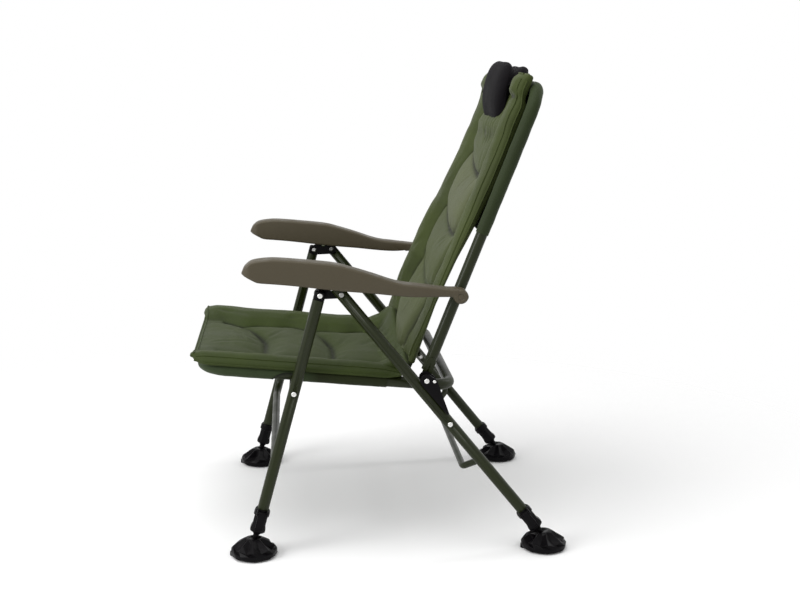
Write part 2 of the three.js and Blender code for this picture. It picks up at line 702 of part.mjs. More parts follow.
// Back frame: one bent tube with hinge tongues
{
  const corners = [
    at(back.halfWidth, 0, back.start), at(back.halfWidth, 0, back.top),
    at(-back.halfWidth, 0, back.top), at(-back.halfWidth, 0, back.start),
  ];
  const tongue = { radius: 10.5, length: 46 };
  const outline = [
    ...arc(spot(0, 0), tongue.radius, 180, 360, 6),
    ...arc(spot(0, tongue.length - tongue.radius), tongue.radius, 0, 180, 6),
  ];
  const bored = cut(sideSlab(outline, ...span.tongue), boreX(bolt.bore, ...span.tongue, spot(0, 0)));
  const tubeSpan = [back.halfWidth - tube.radius, back.halfWidth + tube.radius];
  const armBore = boreX(bolt.bore, ...tubeSpan, spot(0, armrestHeight));
  const loop = sweep(corners, back.bend, tube.radius);
  const hollow = sweep(corners, back.bend, tubeBore, overrun);
  const piece = cut(join(loop, bored, mirrored(bored)), hollow, armBore, mirrored(armBore));
  add(backFrame, 'back_frame', piece, finishes.paint);

  const sleeveCorners = corners.map((point) => point.clone());
  sleeveCorners[0].z = back.slingStart;
  sleeveCorners[3].z = back.slingStart;
  const plan = new THREE.Shape();
  const corner = back.halfWidth - back.bend;
  plan.moveTo(back.halfWidth, back.slingStart);
  plan.lineTo(back.halfWidth, back.top - back.bend);
  plan.absarc(corner, back.top - back.bend, back.bend, 0, 0.5 * Math.PI, false);
  plan.absarc(-corner, back.top - back.bend, back.bend, 0.5 * Math.PI, Math.PI, false);
  plan.lineTo(-back.halfWidth, back.slingStart);
  const sheet = new THREE.ExtrudeGeometry(plan, {
    depth: sleeve.thickness, bevelEnabled: false, curveSegments: 4,
  }).rotateX(Math.PI / 2).translate(0, sleeve.thickness / 2, 0);
  const round = sweep(sleeveCorners, back.bend, slingRadius);
  const bore = sweep(sleeveCorners, back.bend, sleeveBore, overrun);
  add(backFrame, 'back_sling', cut(join(round, sheet), bore), finishes.sling);
}

// Armrests: moulded channels with a lug at the rear and a notched rack inside
{
  const arm = {
    length: 465, height: 82.5, halfWidth: 22, lugInset: 2, lug: 16, edge: 4, wall: 3.2, ceiling: 4,
    nose: 19, shoulder: 46,
  };
  arm.inner = legPlane - arm.halfWidth;
  arm.outer = legPlane + arm.halfWidth;
  arm.lugInner = back.halfWidth + tube.radius + 2 * play;
  arm.lugOuter = arm.outer - arm.lugInset;
  const topShares = [
    [1, 0.612], [0.982, 0.794], [0.933, 0.952], [0.845, 1], [0.718, 0.945], [0.585, 0.867],
    [0.498, 0.745], [0.41, 0.594], [0.294, 0.382], [0.189, 0.297], [0.053, 0.212],
  ];
  const bottomShares = [
    [0.058, -0.006], [0.234, 0.006], [0.412, 0.103], [0.561, 0.176], [0.761, 0.309],
    [0.926, 0.394], [0.98, 0.527],
  ];
  const placed = (shares) => shares.map(([y, z]) => spot(-y * arm.length, z * arm.height));
  const topLine = new THREE.SplineCurve(placed(topShares));
  const bottomLine = new THREE.SplineCurve(placed(bottomShares));
  // From the nose, over the top, round the lug and back along the bottom
  const outline = [
    ...topLine.getPoints(14),
    ...arc(spot(0, 0), arm.lug, 80, -125, 7),
    ...bottomLine.getPoints(9),
  ].reverse();
  const bevel = {
    bevelEnabled: true, bevelSize: arm.edge, bevelOffset: -arm.edge, bevelThickness: arm.edge,
    bevelSegments: 1,
  };
  const body = sideSlab(outline, arm.inner + arm.edge, arm.outer - arm.edge, bevel);

  const reach = arm.length + overrun;
  const plan = new THREE.Shape();
  plan.moveTo(arm.lugInner, 2 * arm.lug);
  plan.lineTo(arm.lugInner, -arm.shoulder);
  plan.lineTo(arm.inner, -2 * arm.shoulder);
  plan.lineTo(arm.inner, -arm.length + arm.nose);
  plan.absarc(arm.inner + arm.nose, -arm.length + arm.nose, arm.nose, Math.PI, 1.5 * Math.PI, false);
  plan.absarc(arm.outer - arm.nose, -arm.length + arm.nose, arm.nose, 1.5 * Math.PI, 2 * Math.PI, false);
  plan.lineTo(arm.outer, -2 * arm.shoulder);
  plan.lineTo(arm.lugOuter, -arm.shoulder);
  plan.lineTo(arm.lugOuter, 2 * arm.lug);
  const planBlock = new THREE.ExtrudeGeometry(plan, {
    depth: 2 * reach, bevelEnabled: false, curveSegments: 4,
  }).translate(0, 0, -reach);
  const moulded = common(body, planBlock);

  // The hollow follows the top at an even depth and is open below
  const hollowFrom = 60;
  const noseDepth = 55;
  const hollowTo = arm.length - noseDepth;
  const roof = [];
  const roofSteps = 9;
  for (let i = 0; i <= roofSteps; i += 1) {
    const y = THREE.MathUtils.lerp(hollowFrom, hollowTo, i / roofSteps);
    roof.push(spot(-y, heightAt(topLine, -y) - arm.ceiling));
  }
  const hollow = [
    ...roof, spot(-hollowTo, -arm.height), spot(-hollowFrom, -arm.height),
  ];
  const hollowCut = sideSlab(hollow, arm.inner + arm.wall, arm.outer - arm.wall);

  // Rack: its tooth tips stay just above the pin's path while the back reclines
  const rack = { halfThickness: 4, notch: 4.6, travel: 67.5 };
  const pinSeat = seenFrom(armrestFrame, rackPin.place);
  const pinWay = pinSeat.clone().normalize();
  const pinAbove = spot(pinWay.y, -pinWay.x);
  const clearance = rackPin.radius + 2 * gap;
  // The pin's way under the rack: how far ahead and how high, in shares of its travel
  const wayShares = [
    [1.12, 0.012], [1, 0], [0.52, -0.022], [0.007, 0], [-0.39, 0.044], [-0.515, 0.059],
  ];
  const rises = [...wayShares].reverse();
  const tipAt = (share) => pinSeat.clone().addScaledVector(pinWay, share * rack.travel)
    .addScaledVector(pinAbove, clearance + rack.travel * along(rises, share));
  const tips = wayShares.map(([share]) => tipAt(share));
  const ribOutline = [
    ...tips,
    ...[...tips].reverse().map((tip) => spot(tip.x, heightAt(topLine, tip.x) - arm.ceiling / 2)),
  ];
  const ribX = [legPlane - rack.halfThickness, legPlane + rack.halfThickness];
  let rib = sideSlab(ribOutline, ...ribX);
  const notchCount = 5;
  for (let i = 0; i < notchCount; i += 1) {
    const share = THREE.MathUtils.lerp(wayShares[4][0], wayShares[1][0], i / (notchCount - 1));
    rib = cut(rib, boreX(rack.notch, ...ribX, tipAt(share)));
  }

  const boltPlace = spot(0, 0);
  const counterbore = { radius: bolt.head + play, depth: bolt.headHeight + gap };
  const headSeat = arm.lugOuter - counterbore.depth;
  const boltBore = boreX(bolt.bore, arm.lugInner, arm.lugOuter, boltPlace);
  const headBore = sideSlab(
    circle(boreCorner(counterbore.radius, sides.bolt), sides.bolt, boltPlace),
    headSeat, arm.outer + overrun,
  );
  const shell = cut(moulded, hollowCut, boltBore, headBore);
  addPair(armrestFrame, 'armrest', join(shell, rib), finishes.armPlastic);

  const armBolt = boltX(boltPlace, headSeat, back.halfWidth - tube.radius);
  addPair(armrestFrame, 'armrest_bolt', armBolt, finishes.zinc);
}

// Leg ends, built with the ball joint's centre at the origin and the leg along Z
{
  const clamp = {
    top: 83, shoulder: 80, neckTop: 66, neckBottom: 46, wingTop: 37, wingBottom: 31, bottom: 27.5,
    rim: 15.6, collar: 16.6, neck: 15, wing: 17.4, foot: 14.5, ledge: 35.4,
  };
  const ear = { from: 11.5, to: 25, bottom: 69, top: 83, inner: 8.6, outer: 11.8 };
  const pin = { x: 21, z: 76, radius: 2, bore: 2.3, half: 12.6 };
  const lever = { halfWidth: 8, eye: 4.2 };
  const legBore = boreCorner(tube.radius + gap, sides.turned);
  const slideBore = slide.radius + play;
  const socket = { ball: 11, neck: 5, play: 0.35 };

  const collar = turnedPiece([
    [slideBore, clamp.bottom],
    [clamp.foot, clamp.bottom],
    [clamp.wing, clamp.wingBottom],
    [clamp.wing, clamp.wingTop],
    [clamp.neck, clamp.neckBottom],
    [clamp.neck, clamp.neckTop],
    [clamp.collar, clamp.neckTop + gap],
    [clamp.collar, clamp.shoulder],
    [clamp.rim, clamp.top],
    [legBore, clamp.top],
    [legBore, clamp.ledge],
    [slideBore, clamp.ledge],
    [slideBore, clamp.bottom],
  ], sides.turned);
  const ears = [ear.inner, -ear.outer].map((y) => block(
    at(ear.from, y, ear.bottom), at(ear.to, y + ear.outer - ear.inner, ear.top),
  ));
  const alongY = (radius, half) => turnedPiece(
    [[0, -half], [radius, -half], [radius, half], [0, half]], sides.bolt,
  ).rotateX(Math.PI / 2).translate(pin.x, 0, pin.z);
  const pinBore = alongY(boreCorner(pin.bore, sides.bolt), ear.outer + overrun);
  const clampPiece = cut(join(collar, ...ears), pinBore);

  const panel = {
    inner: 17.6, outer: 24.6, top: 70, low: 50, lowIn: 18.2, throat: 43.5, throatOut: 21,
    lipEnd: 39.6, lipIn: 25.6, lip: 41.2, lipOut: 27.2, waist: 47, waistOut: 24.2,
  };
  const leverOutline = new THREE.Shape([
    ...arc(spot(pin.x, pin.z), lever.eye, 0, 180, 5),
    spot(panel.inner, panel.top), spot(panel.lowIn, panel.low), spot(panel.throatOut, panel.throat),
    spot(panel.lipIn, panel.lipEnd), spot(panel.lipOut, panel.lip), spot(panel.waistOut, panel.waist),
    spot(panel.outer, panel.top),
  ]);
  const leverPiece = cut(
    new THREE.ExtrudeGeometry(leverOutline, { depth: 2 * lever.halfWidth, bevelEnabled: false })
      .rotateX(Math.PI / 2).translate(0, lever.halfWidth, 0),
    pinBore,
  );
  const pinPiece = alongY(pin.radius, pin.half);

  // Sliding tube, closed by an adapter that narrows to the ball
  const ballPoint = (degrees) => [
    socket.ball * Math.cos(rad(degrees)), socket.ball * Math.sin(rad(degrees)),
  ];
  const neckHeight = Math.sqrt(socket.ball ** 2 - socket.neck ** 2);
  const adapter = { waist: 13, swell: 17, swellTop: 21, shank: 6.5, shoulder: 27, floor: 31 };
  const slidePiece = turnedPiece([
    [0, -socket.ball],
    ballPoint(-60), ballPoint(-30), ballPoint(0), ballPoint(30),
    [socket.neck, neckHeight],
    [socket.neck, adapter.waist],
    [adapter.shank, adapter.swell],
    [adapter.shank, adapter.swellTop],
    [slide.radius, adapter.shoulder],
    [slide.radius, adapter.shoulder + slide.length],
    [slide.radius - slide.wall, adapter.shoulder + slide.length],
    [slide.radius - slide.wall, adapter.floor],
    [0, adapter.floor],
  ], sides.turned);

  // Mud foot: ribbed dome on a flat base, with a lug in front
  const foot = { radius: 52, height: 40 };
  const domeShares = [[0, 0], [0.98, 0], [1, 0.15], [0.83, 0.45], [0.54, 0.77], [0.31, 1], [0, 1]];
  const recess = { from: 26, to: 43, halfWidth: 5.4, floor: 5 };
  const peg = { setOut: 46, radius: 7, height: 10 };
  const mouth = { halfAngle: rad(43.5), reach: 40 };
  const footPiece = (lean) => {
    const dome = domeShares.map(([out, height]) => [out * foot.radius, height * foot.height]);
    const body = turnedPiece(dome, sides.foot);
    const recesses = [];
    for (let i = 0; i < sides.foot; i += 1) {
      const box = block(
        at(-recess.halfWidth, recess.from, recess.floor),
        at(recess.halfWidth, recess.to, 2 * ballHeight),
      );
      recesses.push(box.rotateZ((i / sides.foot) * 2 * Math.PI));
    }
    const boss = turnedPiece(
      [[0, 0], [peg.radius, 0], [peg.radius, peg.height], [0, peg.height]], sides.foot,
    ).translate(0, -peg.setOut, 0);
    const flats = Math.cos(Math.PI / sides.turned) ** 2;
    const hollow = new THREE.SphereGeometry(
      (socket.ball + socket.play) / flats, sides.turned, sides.turned / 2,
    ).translate(0, 0, ballHeight);
    const mouthCone = turnedPiece([
      [0, 0], [mouth.reach * Math.tan(mouth.halfAngle), mouth.reach], [0, mouth.reach],
    ], sides.turned).rotateX(lean).translate(0, 0, ballHeight);
    return cut(join(cut(body, ...recesses), boss), hollow, mouthCone)
      .translate(legPlane, 0, 0);
  };

  const ends = { front: [frontLeg, frontLegFrame], rear: [rearLeg, rearLegFrame] };
  for (const [name, [leg, frame]] of Object.entries(ends)) {
    const placed = (geometry) => geometry.clone().translate(legPlane, 0, -leg.length);
    addPair(frame, `${name}_leg_clamp`, placed(clampPiece), finishes.blackPlastic);
    addPair(frame, `${name}_lock_lever`, placed(leverPiece), finishes.blackPlastic);
    addPair(frame, `${name}_lever_pin`, placed(pinPiece), finishes.zinc);
    addPair(frame, `${name}_leg_extension`, placed(slidePiece), finishes.blackSteel);
    const footFrame = frameAt(spot(leg.ballY, 0), 0);
    addPair(footFrame, `${name}_mud_foot`, footPiece(leg.lean), finishes.blackPlastic);
  }
}

// Seat pad: side bolsters, a quilted middle with two pinched channels, and hanging between the
// sleeves. Heights are above the tubes' axis.
{
  const pad = { beyond: 21, rear: 50, inset: 2, rimOut: 7, crest: 37, channel: 9, least: 1.2 };
  const halfWidth = seat.halfWidth - pad.inset;
  const front = seat.front + pad.beyond;
  const axisZ = -seat.drop;
  const across = [
    0, 0.022, 0.067, 0.13, 0.2, 0.25, 0.28, 0.31, 0.38, 0.46, 0.54, 0.62, 0.7, 0.78, 0.83, 0.855,
    0.89, 0.94, 0.975, 1,
  ];
  const alongShares = [
    0, 0.05, 0.15, 0.25, 0.31, 0.333, 0.356, 0.45, 0.55, 0.635, 0.658, 0.681, 0.78, 0.874, 0.914,
    0.96, 1,
  ];
  // Its middle sits nearer the sitter's left, whose bolster is the slimmer
  const topShares = [
    [0, 0.62], [0.04, 0.88], [0.09, 0.98], [0.16, 1], [0.22, 0.8], [0.25, 0.6], [0.28, 0.35],
    [0.31, 0.46], [0.38, 0.55], [0.5, 0.57], [0.7, 0.55], [0.8, 0.48], [0.855, 0.42], [0.89, 0.62],
    [0.94, 0.8], [0.975, 0.78], [1, 0.6],
  ];
  const lowest = sleeve.thickness / 2 + 2 * gap;
  const overSleeve = slingRadius + 2 * gap;
  const channelShares = [0.333, 0.658];
  const endShares = [[0, 0.72], [0.08, 0.95], [0.2, 1], [0.8, 1], [0.93, 0.97], [1, 0.75]];
  const cornerShare = 0.045;
  const x = (u) => (2 * u - 1) * halfWidth;
  const y = (v) => -THREE.MathUtils.lerp(pad.rear, front, v);
  const out = (u) => Math.abs(2 * u - 1);
  const bottomHeight = (u, v) => {
    const side = THREE.MathUtils.clamp((out(u) - 0.866) / 0.09, 0, 1);
    const end = THREE.MathUtils.clamp((v - 0.874) / 0.04, 0, 1);
    const corner = THREE.MathUtils.clamp((out(u) - 0.76) / 0.12, 0, 1)
      * THREE.MathUtils.clamp((v - 0.8) / 0.06, 0, 1);
    return THREE.MathUtils.lerp(lowest, overSleeve, Math.max(side, end, corner));
  };
  const topHeight = (u, v) => {
    const pinch = channelShares.reduce(
      (sum, share) => sum + Math.max(0, 1 - Math.abs(v - share) / 0.04), 0,
    );
    const inField = THREE.MathUtils.clamp((u - 0.3) / 0.12, 0, 1) * THREE.MathUtils.clamp((0.85 - u) / 0.03, 0, 1);
    const height = pad.crest * along(topShares, u) - pad.channel * pinch * inField;
    const level = bottomHeight(u, v);
    return Math.max(height * along(endShares, v), level + pad.least);
  };
  const toSide = (u) => THREE.MathUtils.clamp((out(u) - 0.85) / 0.15, 0, 1);
  const toEnd = (v) => THREE.MathUtils.clamp((v - 0.9) / 0.1, 0, 1);
  const corner = (u, v) => 1 - cornerShare * toSide(u) * toEnd(v);
  const placed = (u, v, height) => at(x(u) * corner(u, v), y(v) * corner(u, v), axisZ + height);
  const upper = (u, v) => placed(u, v, topHeight(u, v));
  const lower = (u, v) => placed(u, v, bottomHeight(u, v));
  const rim = (u, v) => {
    const middle = upper(u, v).add(lower(u, v)).multiplyScalar(0.5);
    if (u === 0 || u === 1) middle.x += Math.sign(middle.x) * pad.rimOut;
    if (v === 0) middle.y += pad.rimOut / 2;
    if (v === 1) middle.y -= pad.rimOut / 2;
    return middle;
  };
  add(seatFrame, 'seat_pad', cushion(across, alongShares, upper, lower, rim), finishes.padding);
}

// Back pad: side bolsters round a sunken middle of four panels. Depths are in front of the
// tubes' axis, and shares run from the pad's foot to its top.
{
  const pad = { foot: 12, beyond: 18, inset: 30, rimOut: 7, depth: 60, topDip: 12, least: 5 };
  const halfWidth = back.halfWidth - pad.inset;
  const across = mirroredShares([0, 0.03, 0.08, 0.15, 0.19, 0.22, 0.29, 0.38, 0.5]);
  const alongShares = [
    0, 0.05, 0.12, 0.19, 0.215, 0.24, 0.32, 0.41, 0.465, 0.49, 0.515, 0.59, 0.7, 0.775, 0.8, 0.825,
    0.9, 0.93, 0.96, 1,
  ];
  const rightCrestShares = [
    [0, 0.78], [0.05, 0.87], [0.16, 1], [0.35, 0.95], [0.52, 0.73], [0.674, 0.58], [0.865, 0.5],
    [0.91, 0.55], [0.935, 0.72], [0.98, 0.75], [1, 0.6],
  ];
  const leftCrestShares = [
    [0, 0.62], [0.05, 0.65], [0.3, 0.66], [0.5, 0.65], [0.7, 0.66], [0.86, 0.68], [0.91, 0.62],
    [0.935, 0.82], [0.98, 0.84], [1, 0.65],
  ];
  const seamShares = [
    [0, 0.47], [0.1, 0.55], [0.305, 0.58], [0.476, 0.52], [0.644, 0.45], [0.73, 0.33],
    [0.8, 0.31], [0.825, 0.45], [1, 0.45],
  ];
  const rearShares = [
    [0, 0.417], [0.208, 0.5], [0.369, 0.4], [0.455, 0.283], [0.64, 0.075], [0.804, 0.1],
    [0.918, 0.08], [0.942, 0.15], [0.962, 0.258], [1, 0.28],
  ];
  const sideShares = [[0.893, 0], [0.925, 0.258], [1, 0.28]];
  const acrossShares = [
    [0, 0], [0.56, 0], [0.62, 0.4], [0.7, 0.85], [0.8, 1], [0.93, 0.97], [1, 0.7],
  ];
  const crown = 8;
  const seams = [0.215, 0.49, 0.8];
  const x = (u) => (2 * u - 1) * halfWidth;
  const out = (u) => Math.abs(2 * u - 1);
  const z = (u, v) => {
    const dip = pad.topDip * THREE.MathUtils.clamp((0.66 - out(u)) / 0.1, 0, 1);
    return THREE.MathUtils.lerp(pad.foot, back.top + pad.beyond - dip, v);
  };
  const rearDepth = (u, v) => {
    const side = THREE.MathUtils.clamp((out(u) - 0.8) / 0.05, 0, 1) * along(sideShares, v);
    return pad.depth * Math.max(along(rearShares, v), side);
  };
  const frontDepth = (u, v) => {
    const edges = [0, ...seams, 1];
    const n = Math.max(1, edges.findIndex((edge) => edge >= v));
    const within = (v - edges[n - 1]) / (edges[n] - edges[n - 1]);
    const swell = Math.sqrt(Math.max(0, 1 - (2 * within - 1) ** 4));
    const sideSwell = Math.sqrt(Math.max(0, 1 - Math.min(1, out(u) / 0.56) ** 4));
    const height = n === seams.length + 1 ? 0 : crown;
    const middle = pad.depth * along(seamShares, v) - crown / 2 + height * swell * sideSwell;
    const bolster = pad.depth * along(u < 0.5 ? rightCrestShares : leftCrestShares, v);
    const depth = THREE.MathUtils.lerp(middle, bolster, along(acrossShares, out(u)));
    return Math.max(depth, rearDepth(u, v) + pad.least);
  };
  const front = (u, v) => at(x(u), -frontDepth(u, v), z(u, v));
  const rear = (u, v) => at(x(u), -rearDepth(u, v), z(u, v));
  const rim = (u, v) => {
    const middle = front(u, v).add(rear(u, v)).multiplyScalar(0.5);
    if (u === 0 || u === 1) middle.x += Math.sign(middle.x) * pad.rimOut;
    if (v === 0) middle.z -= pad.rimOut / 2;
    if (v === 1) middle.z += pad.rimOut / 2;
    return middle;
  };
  add(backFrame, 'back_pad', cushion(across, alongShares, front, rear, rim), finishes.padding);
}

// Head pillow: a soft two-lobed roll over the top of the back pad, between the bolsters
{
  const pillow = { halfLength: 116, depth: 70, height: 126, below: 82 };
  const foot = back.top - pillow.below;
  const sectionShares = [
    [0.24, 0.01], [0.5, 0.03], [0.72, 0.12], [0.91, 0.27], [0.99, 0.46], [1, 0.7], [0.91, 0.9],
    [0.74, 0.95], [0.57, 0.92], [0.43, 0.88], [0.31, 0.96], [0.15, 1], [0.01, 0.97], [-0.04, 0.89],
    [0.03, 0.855], [0.35, 0.84], [0.35, 0.56], [0.24, 0.4], [0.22, 0.2],
  ];
  const stationShares = [
    [-1, 0.45], [-0.95, 0.7], [-0.8, 0.9], [-0.45, 1], [0, 0.97], [0.45, 1], [0.8, 0.9],
    [0.95, 0.7], [1, 0.45],
  ];
  const centreShares = { depth: 0.6, height: 0.52 };
  const limitShares = [[0, 0.334], [0.835, 0.334], [0.845, -0.05]];
  const rings = stationShares.map(([place, size]) => sectionShares.map(([depth, height]) => {
    const h = centreShares.height + (height - centreShares.height) * size;
    const d = centreShares.depth + (depth - centreShares.depth) * size;
    const clear = Math.max(d, along(limitShares, h));
    return at(place * pillow.halfLength, -clear * pillow.depth, foot + h * pillow.height);
  }));
  add(backFrame, 'head_pillow', roll(rings), finishes.pillow);
}

// The chair stands on Z = 0, with the middle of its outline at the origin
const outline = new THREE.Box3().setFromObject(chair, true);
chair.position.set(0, -(outline.min.y + outline.max.y) / 2, -outline.min.z);

export default chair;
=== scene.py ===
# Folding carp fishing armchair in a plain studio. Metres, +Z up; the sitter faces -Y.
import math
import bpy
import bmesh
import numpy as np
from mathutils import Matrix, Vector, noise


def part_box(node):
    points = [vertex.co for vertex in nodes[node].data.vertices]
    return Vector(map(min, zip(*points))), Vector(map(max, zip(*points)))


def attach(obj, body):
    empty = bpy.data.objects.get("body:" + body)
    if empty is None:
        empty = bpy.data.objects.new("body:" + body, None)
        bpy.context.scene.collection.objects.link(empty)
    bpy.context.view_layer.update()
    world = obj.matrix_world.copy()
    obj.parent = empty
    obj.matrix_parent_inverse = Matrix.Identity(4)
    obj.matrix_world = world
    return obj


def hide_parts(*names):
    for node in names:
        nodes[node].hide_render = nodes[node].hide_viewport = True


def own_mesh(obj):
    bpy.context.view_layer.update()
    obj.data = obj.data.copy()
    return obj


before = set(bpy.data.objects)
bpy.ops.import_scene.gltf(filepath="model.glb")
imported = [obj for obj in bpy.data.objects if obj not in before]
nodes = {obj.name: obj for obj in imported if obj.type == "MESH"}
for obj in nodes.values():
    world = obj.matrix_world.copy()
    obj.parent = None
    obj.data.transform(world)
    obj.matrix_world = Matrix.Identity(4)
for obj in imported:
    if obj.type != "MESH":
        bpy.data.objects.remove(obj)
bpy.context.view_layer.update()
scene = bpy.context.scene
V = Vector

# Camera
# A 54 mm lens on a 36 mm frame, at the sitter's left, looking along -X and a little down.
camera_place = V((2.8135, -0.1986, 1.0800))
camera_yaw, camera_pitch, camera_roll = math.radians(5.31), math.radians(11.45), math.radians(0.57)
ahead = V((
    -math.cos(camera_yaw) * math.cos(camera_pitch),
    math.sin(camera_yaw) * math.cos(camera_pitch),
    -math.sin(camera_pitch),
))
level_right = ahead.cross(V((0, 0, 1))).normalized()
level_up = level_right.cross(ahead)
right = math.cos(camera_roll) * level_right + math.sin(camera_roll) * level_up
up = math.cos(camera_roll) * level_up - math.sin(camera_roll) * level_right
camera = bpy.data.objects.new("camera", bpy.data.cameras.new("camera"))
camera.data.lens, camera.data.sensor_width = 54, 36
camera.matrix_world = Matrix.Translation(camera_place) @ Matrix((right, up, -ahead)).transposed().to_4x4()
scene.collection.objects.link(camera)
scene.camera = camera

# Floor
# A pale studio floor that fades out into the white of the backdrop.
def add_node(tree, kind, inputs=None, **settings):
    """A shader node with its settings, and the inputs that nothing is linked to."""
    node = tree.nodes.new(kind)
    for name, value in settings.items():
        setattr(node, name, value)
    for name, value in (inputs or {}).items():
        node.inputs[name].default_value = value
    return node


floor_radius, fade_start, fade_end = 3.2, 0.7, 1.9
bpy.ops.object.select_all(action="DESELECT")
bpy.ops.mesh.primitive_circle_add(vertices=96, radius=floor_radius, fill_type="NGON")
floor = bpy.context.object
floor.name = "studio_floor"
floor_paint = bpy.data.materials.new("floor_white")
floor_paint.use_nodes = True
tree = floor_paint.node_tree
tree.nodes.clear()
link = tree.links.new
place = add_node(tree, "ShaderNodeTexCoord")
distance = add_node(tree, "ShaderNodeVectorMath", operation="LENGTH")
fade = add_node(tree, "ShaderNodeMapRange", {"From Min": fade_start, "From Max": fade_end},
                interpolation_type="SMOOTHSTEP")
white = add_node(tree, "ShaderNodeBsdfDiffuse", {"Color": (0.97, 0.97, 0.97, 1)})
clear = add_node(tree, "ShaderNodeBsdfTransparent")
mix = add_node(tree, "ShaderNodeMixShader")
out = add_node(tree, "ShaderNodeOutputMaterial")
link(place.outputs["Object"], distance.inputs[0])
link(distance.outputs["Value"], fade.inputs["Value"])
link(fade.outputs["Result"], mix.inputs[0])
link(white.outputs[0], mix.inputs[1])
link(clear.outputs[0], mix.inputs[2])
link(mix.outputs[0], out.inputs["Surface"])
floor.data.materials.append(floor_paint)

# Light
# A white room, a large soft lamp overhead, a smaller one before the chair, and a narrow strip
# behind it that draws a thin line of light down the tubes.
world = bpy.data.worlds.new("studio_white")
scene.world = world
world.use_nodes = True
tree = world.node_tree
tree.nodes.clear()
link = tree.links.new
rays = add_node(tree, "ShaderNodeLightPath")
seen = add_node(tree, "ShaderNodeBackground", {"Color": (1, 1, 1, 1), "Strength": 1.0})
lit = add_node(tree, "ShaderNodeBackground", {"Color": (1, 1, 1, 1), "Strength": 0.68})
mix = add_node(tree, "ShaderNodeMixShader")
out = add_node(tree, "ShaderNodeOutputWorld")
direct = rays.outputs["Is Camera Ray"]
for kind in ("Is Glossy Ray", "Is Transmission Ray"):
    either = add_node(tree, "ShaderNodeMath", operation="MAXIMUM")
    link(direct, either.inputs[0])
    link(rays.outputs[kind], either.inputs[1])
    direct = either.outputs[0]
link(direct, mix.inputs[0])
link(lit.outputs[0], mix.inputs[1])
link(seen.outputs[0], mix.inputs[2])
link(mix.outputs[0], out.inputs["Surface"])
for name, place, aim, shape, size, long, power in (
    ("lamp_overhead", (0.6, -0.7, 3.0), (0, 0, 0.4), "DISK", 2.6, 2.6, 47),
    ("lamp_before_chair", (1.5, -2.7, 1.6), (0, 0, 0.5), "DISK", 1.5, 1.5, 42),
    ("lamp_strip_behind", (-0.7, 2.5, 2.0), (0, 0, 0.5), "RECTANGLE", 0.2, 1.8, 10),
):
    lamp = bpy.data.objects.new(name, bpy.data.lights.new(name, "AREA"))
    lamp.data.shape, lamp.data.size, lamp.data.energy = shape, size, power
    if shape == "RECTANGLE":
        lamp.data.size_y = long
    lamp.location = place
    lamp.rotation_euler = (V(aim) - V(place)).to_track_quat("-Z", "Y").to_euler()
    scene.collection.objects.link(lamp)
scene.view_settings.view_transform = "Standard"

# Frame tubes
# Round 25 mm steel tubes and two thinner stretchers, bent cold, coated in glossy green-grey.
# The legs are capped at the top by a level cut or a plugged eye, and lugs are welded to the loops.
def leaning_frame(y, z, lean_degrees):
    """The frame of pieces that lean together, at a place in the side view."""
    return Matrix.Translation((0, y, z)) @ Matrix.Rotation(math.radians(lean_degrees), 4, "X")


front_leg_frame = leaning_frame(-0.1369415, 0.5832, -14.8)
rear_leg_frame = leaning_frame(-0.0916415, 0.5851, 39.3)
seat_frame = leaning_frame(0.0925955, 0.394741, -4.995)
back_frame = leaning_frame(0.0925955, 0.394741, -21)


def remap(tree, value, span, result):
    """The output of a node that carries a value from one span to another."""
    node = add_node(tree, "ShaderNodeMapRange", {
        "From Min": span[0], "From Max": span[1], "To Min": result[0], "To Max": result[1]})
    tree.links.new(value, node.inputs["Value"])
    return node.outputs["Result"]


def mottle(tree, place, scale, detail, distortion=0.0):
    """The output of a noise node that is laid over the piece itself."""
    node = add_node(tree, "ShaderNodeTexNoise", {"Scale": scale, "Detail": detail, "Distortion": distortion})
    tree.links.new(place.outputs["Object"], node.inputs["Vector"])
    return node.outputs["Fac"]


def relief(tree, shader, grounds):
    """Bumps on a shader's surface, one on the other, each from a height with its strength and depth."""
    normal = None
    for height, strength, depth in grounds:
        bump = add_node(tree, "ShaderNodeBump", {"Strength": strength, "Distance": depth})
        tree.links.new(height, bump.inputs["Height"])
        if normal:
            tree.links.new(normal, bump.inputs["Normal"])
        normal = bump.outputs["Normal"]
    tree.links.new(normal, shader.inputs["Normal"])


def coated(name, colour, rough, metal, grain, bump, coat=0.0, shine=0.4):
    """A coat of paint, zinc or moulded skin, with faint flecks, orange peel and uneven gloss."""
    material = bpy.data.materials.new(name)
    material.use_nodes = True
    tree = material.node_tree
    link = tree.links.new
    shader = tree.nodes["Principled BSDF"]
    shader.inputs["Metallic"].default_value = metal
    shader.inputs["Coat Weight"].default_value = coat
    shader.inputs["Coat Roughness"].default_value = 0.12
    shader.inputs["Specular IOR Level"].default_value = shine
    place = add_node(tree, "ShaderNodeTexCoord")
    flecks = mottle(tree, place, grain, 4)
    cloud = mottle(tree, place, grain / 40, 6)
    tone = add_node(tree, "ShaderNodeValToRGB")
    for end, at, share in zip(tone.color_ramp.elements, (0.35, 0.65), (0.84, 1.16)):
        end.position, end.color = at, (*[min(1, c * share) for c in colour], 1)
    link(flecks, tone.inputs["Fac"])
    link(tone.outputs["Color"], shader.inputs["Base Color"])
    link(remap(tree, cloud, (0.3, 0.7), (rough * 0.8, rough * 1.25)), shader.inputs["Roughness"])
    relief(tree, shader, [(flecks, bump, 0.0004)])
    return material


def pick(*pieces):
    """Select these pieces alone, the first of them active."""
    bpy.ops.object.select_all(action="DESELECT")
    for piece in pieces:
        piece.select_set(True)
    bpy.context.view_layer.objects.active = pieces[0]


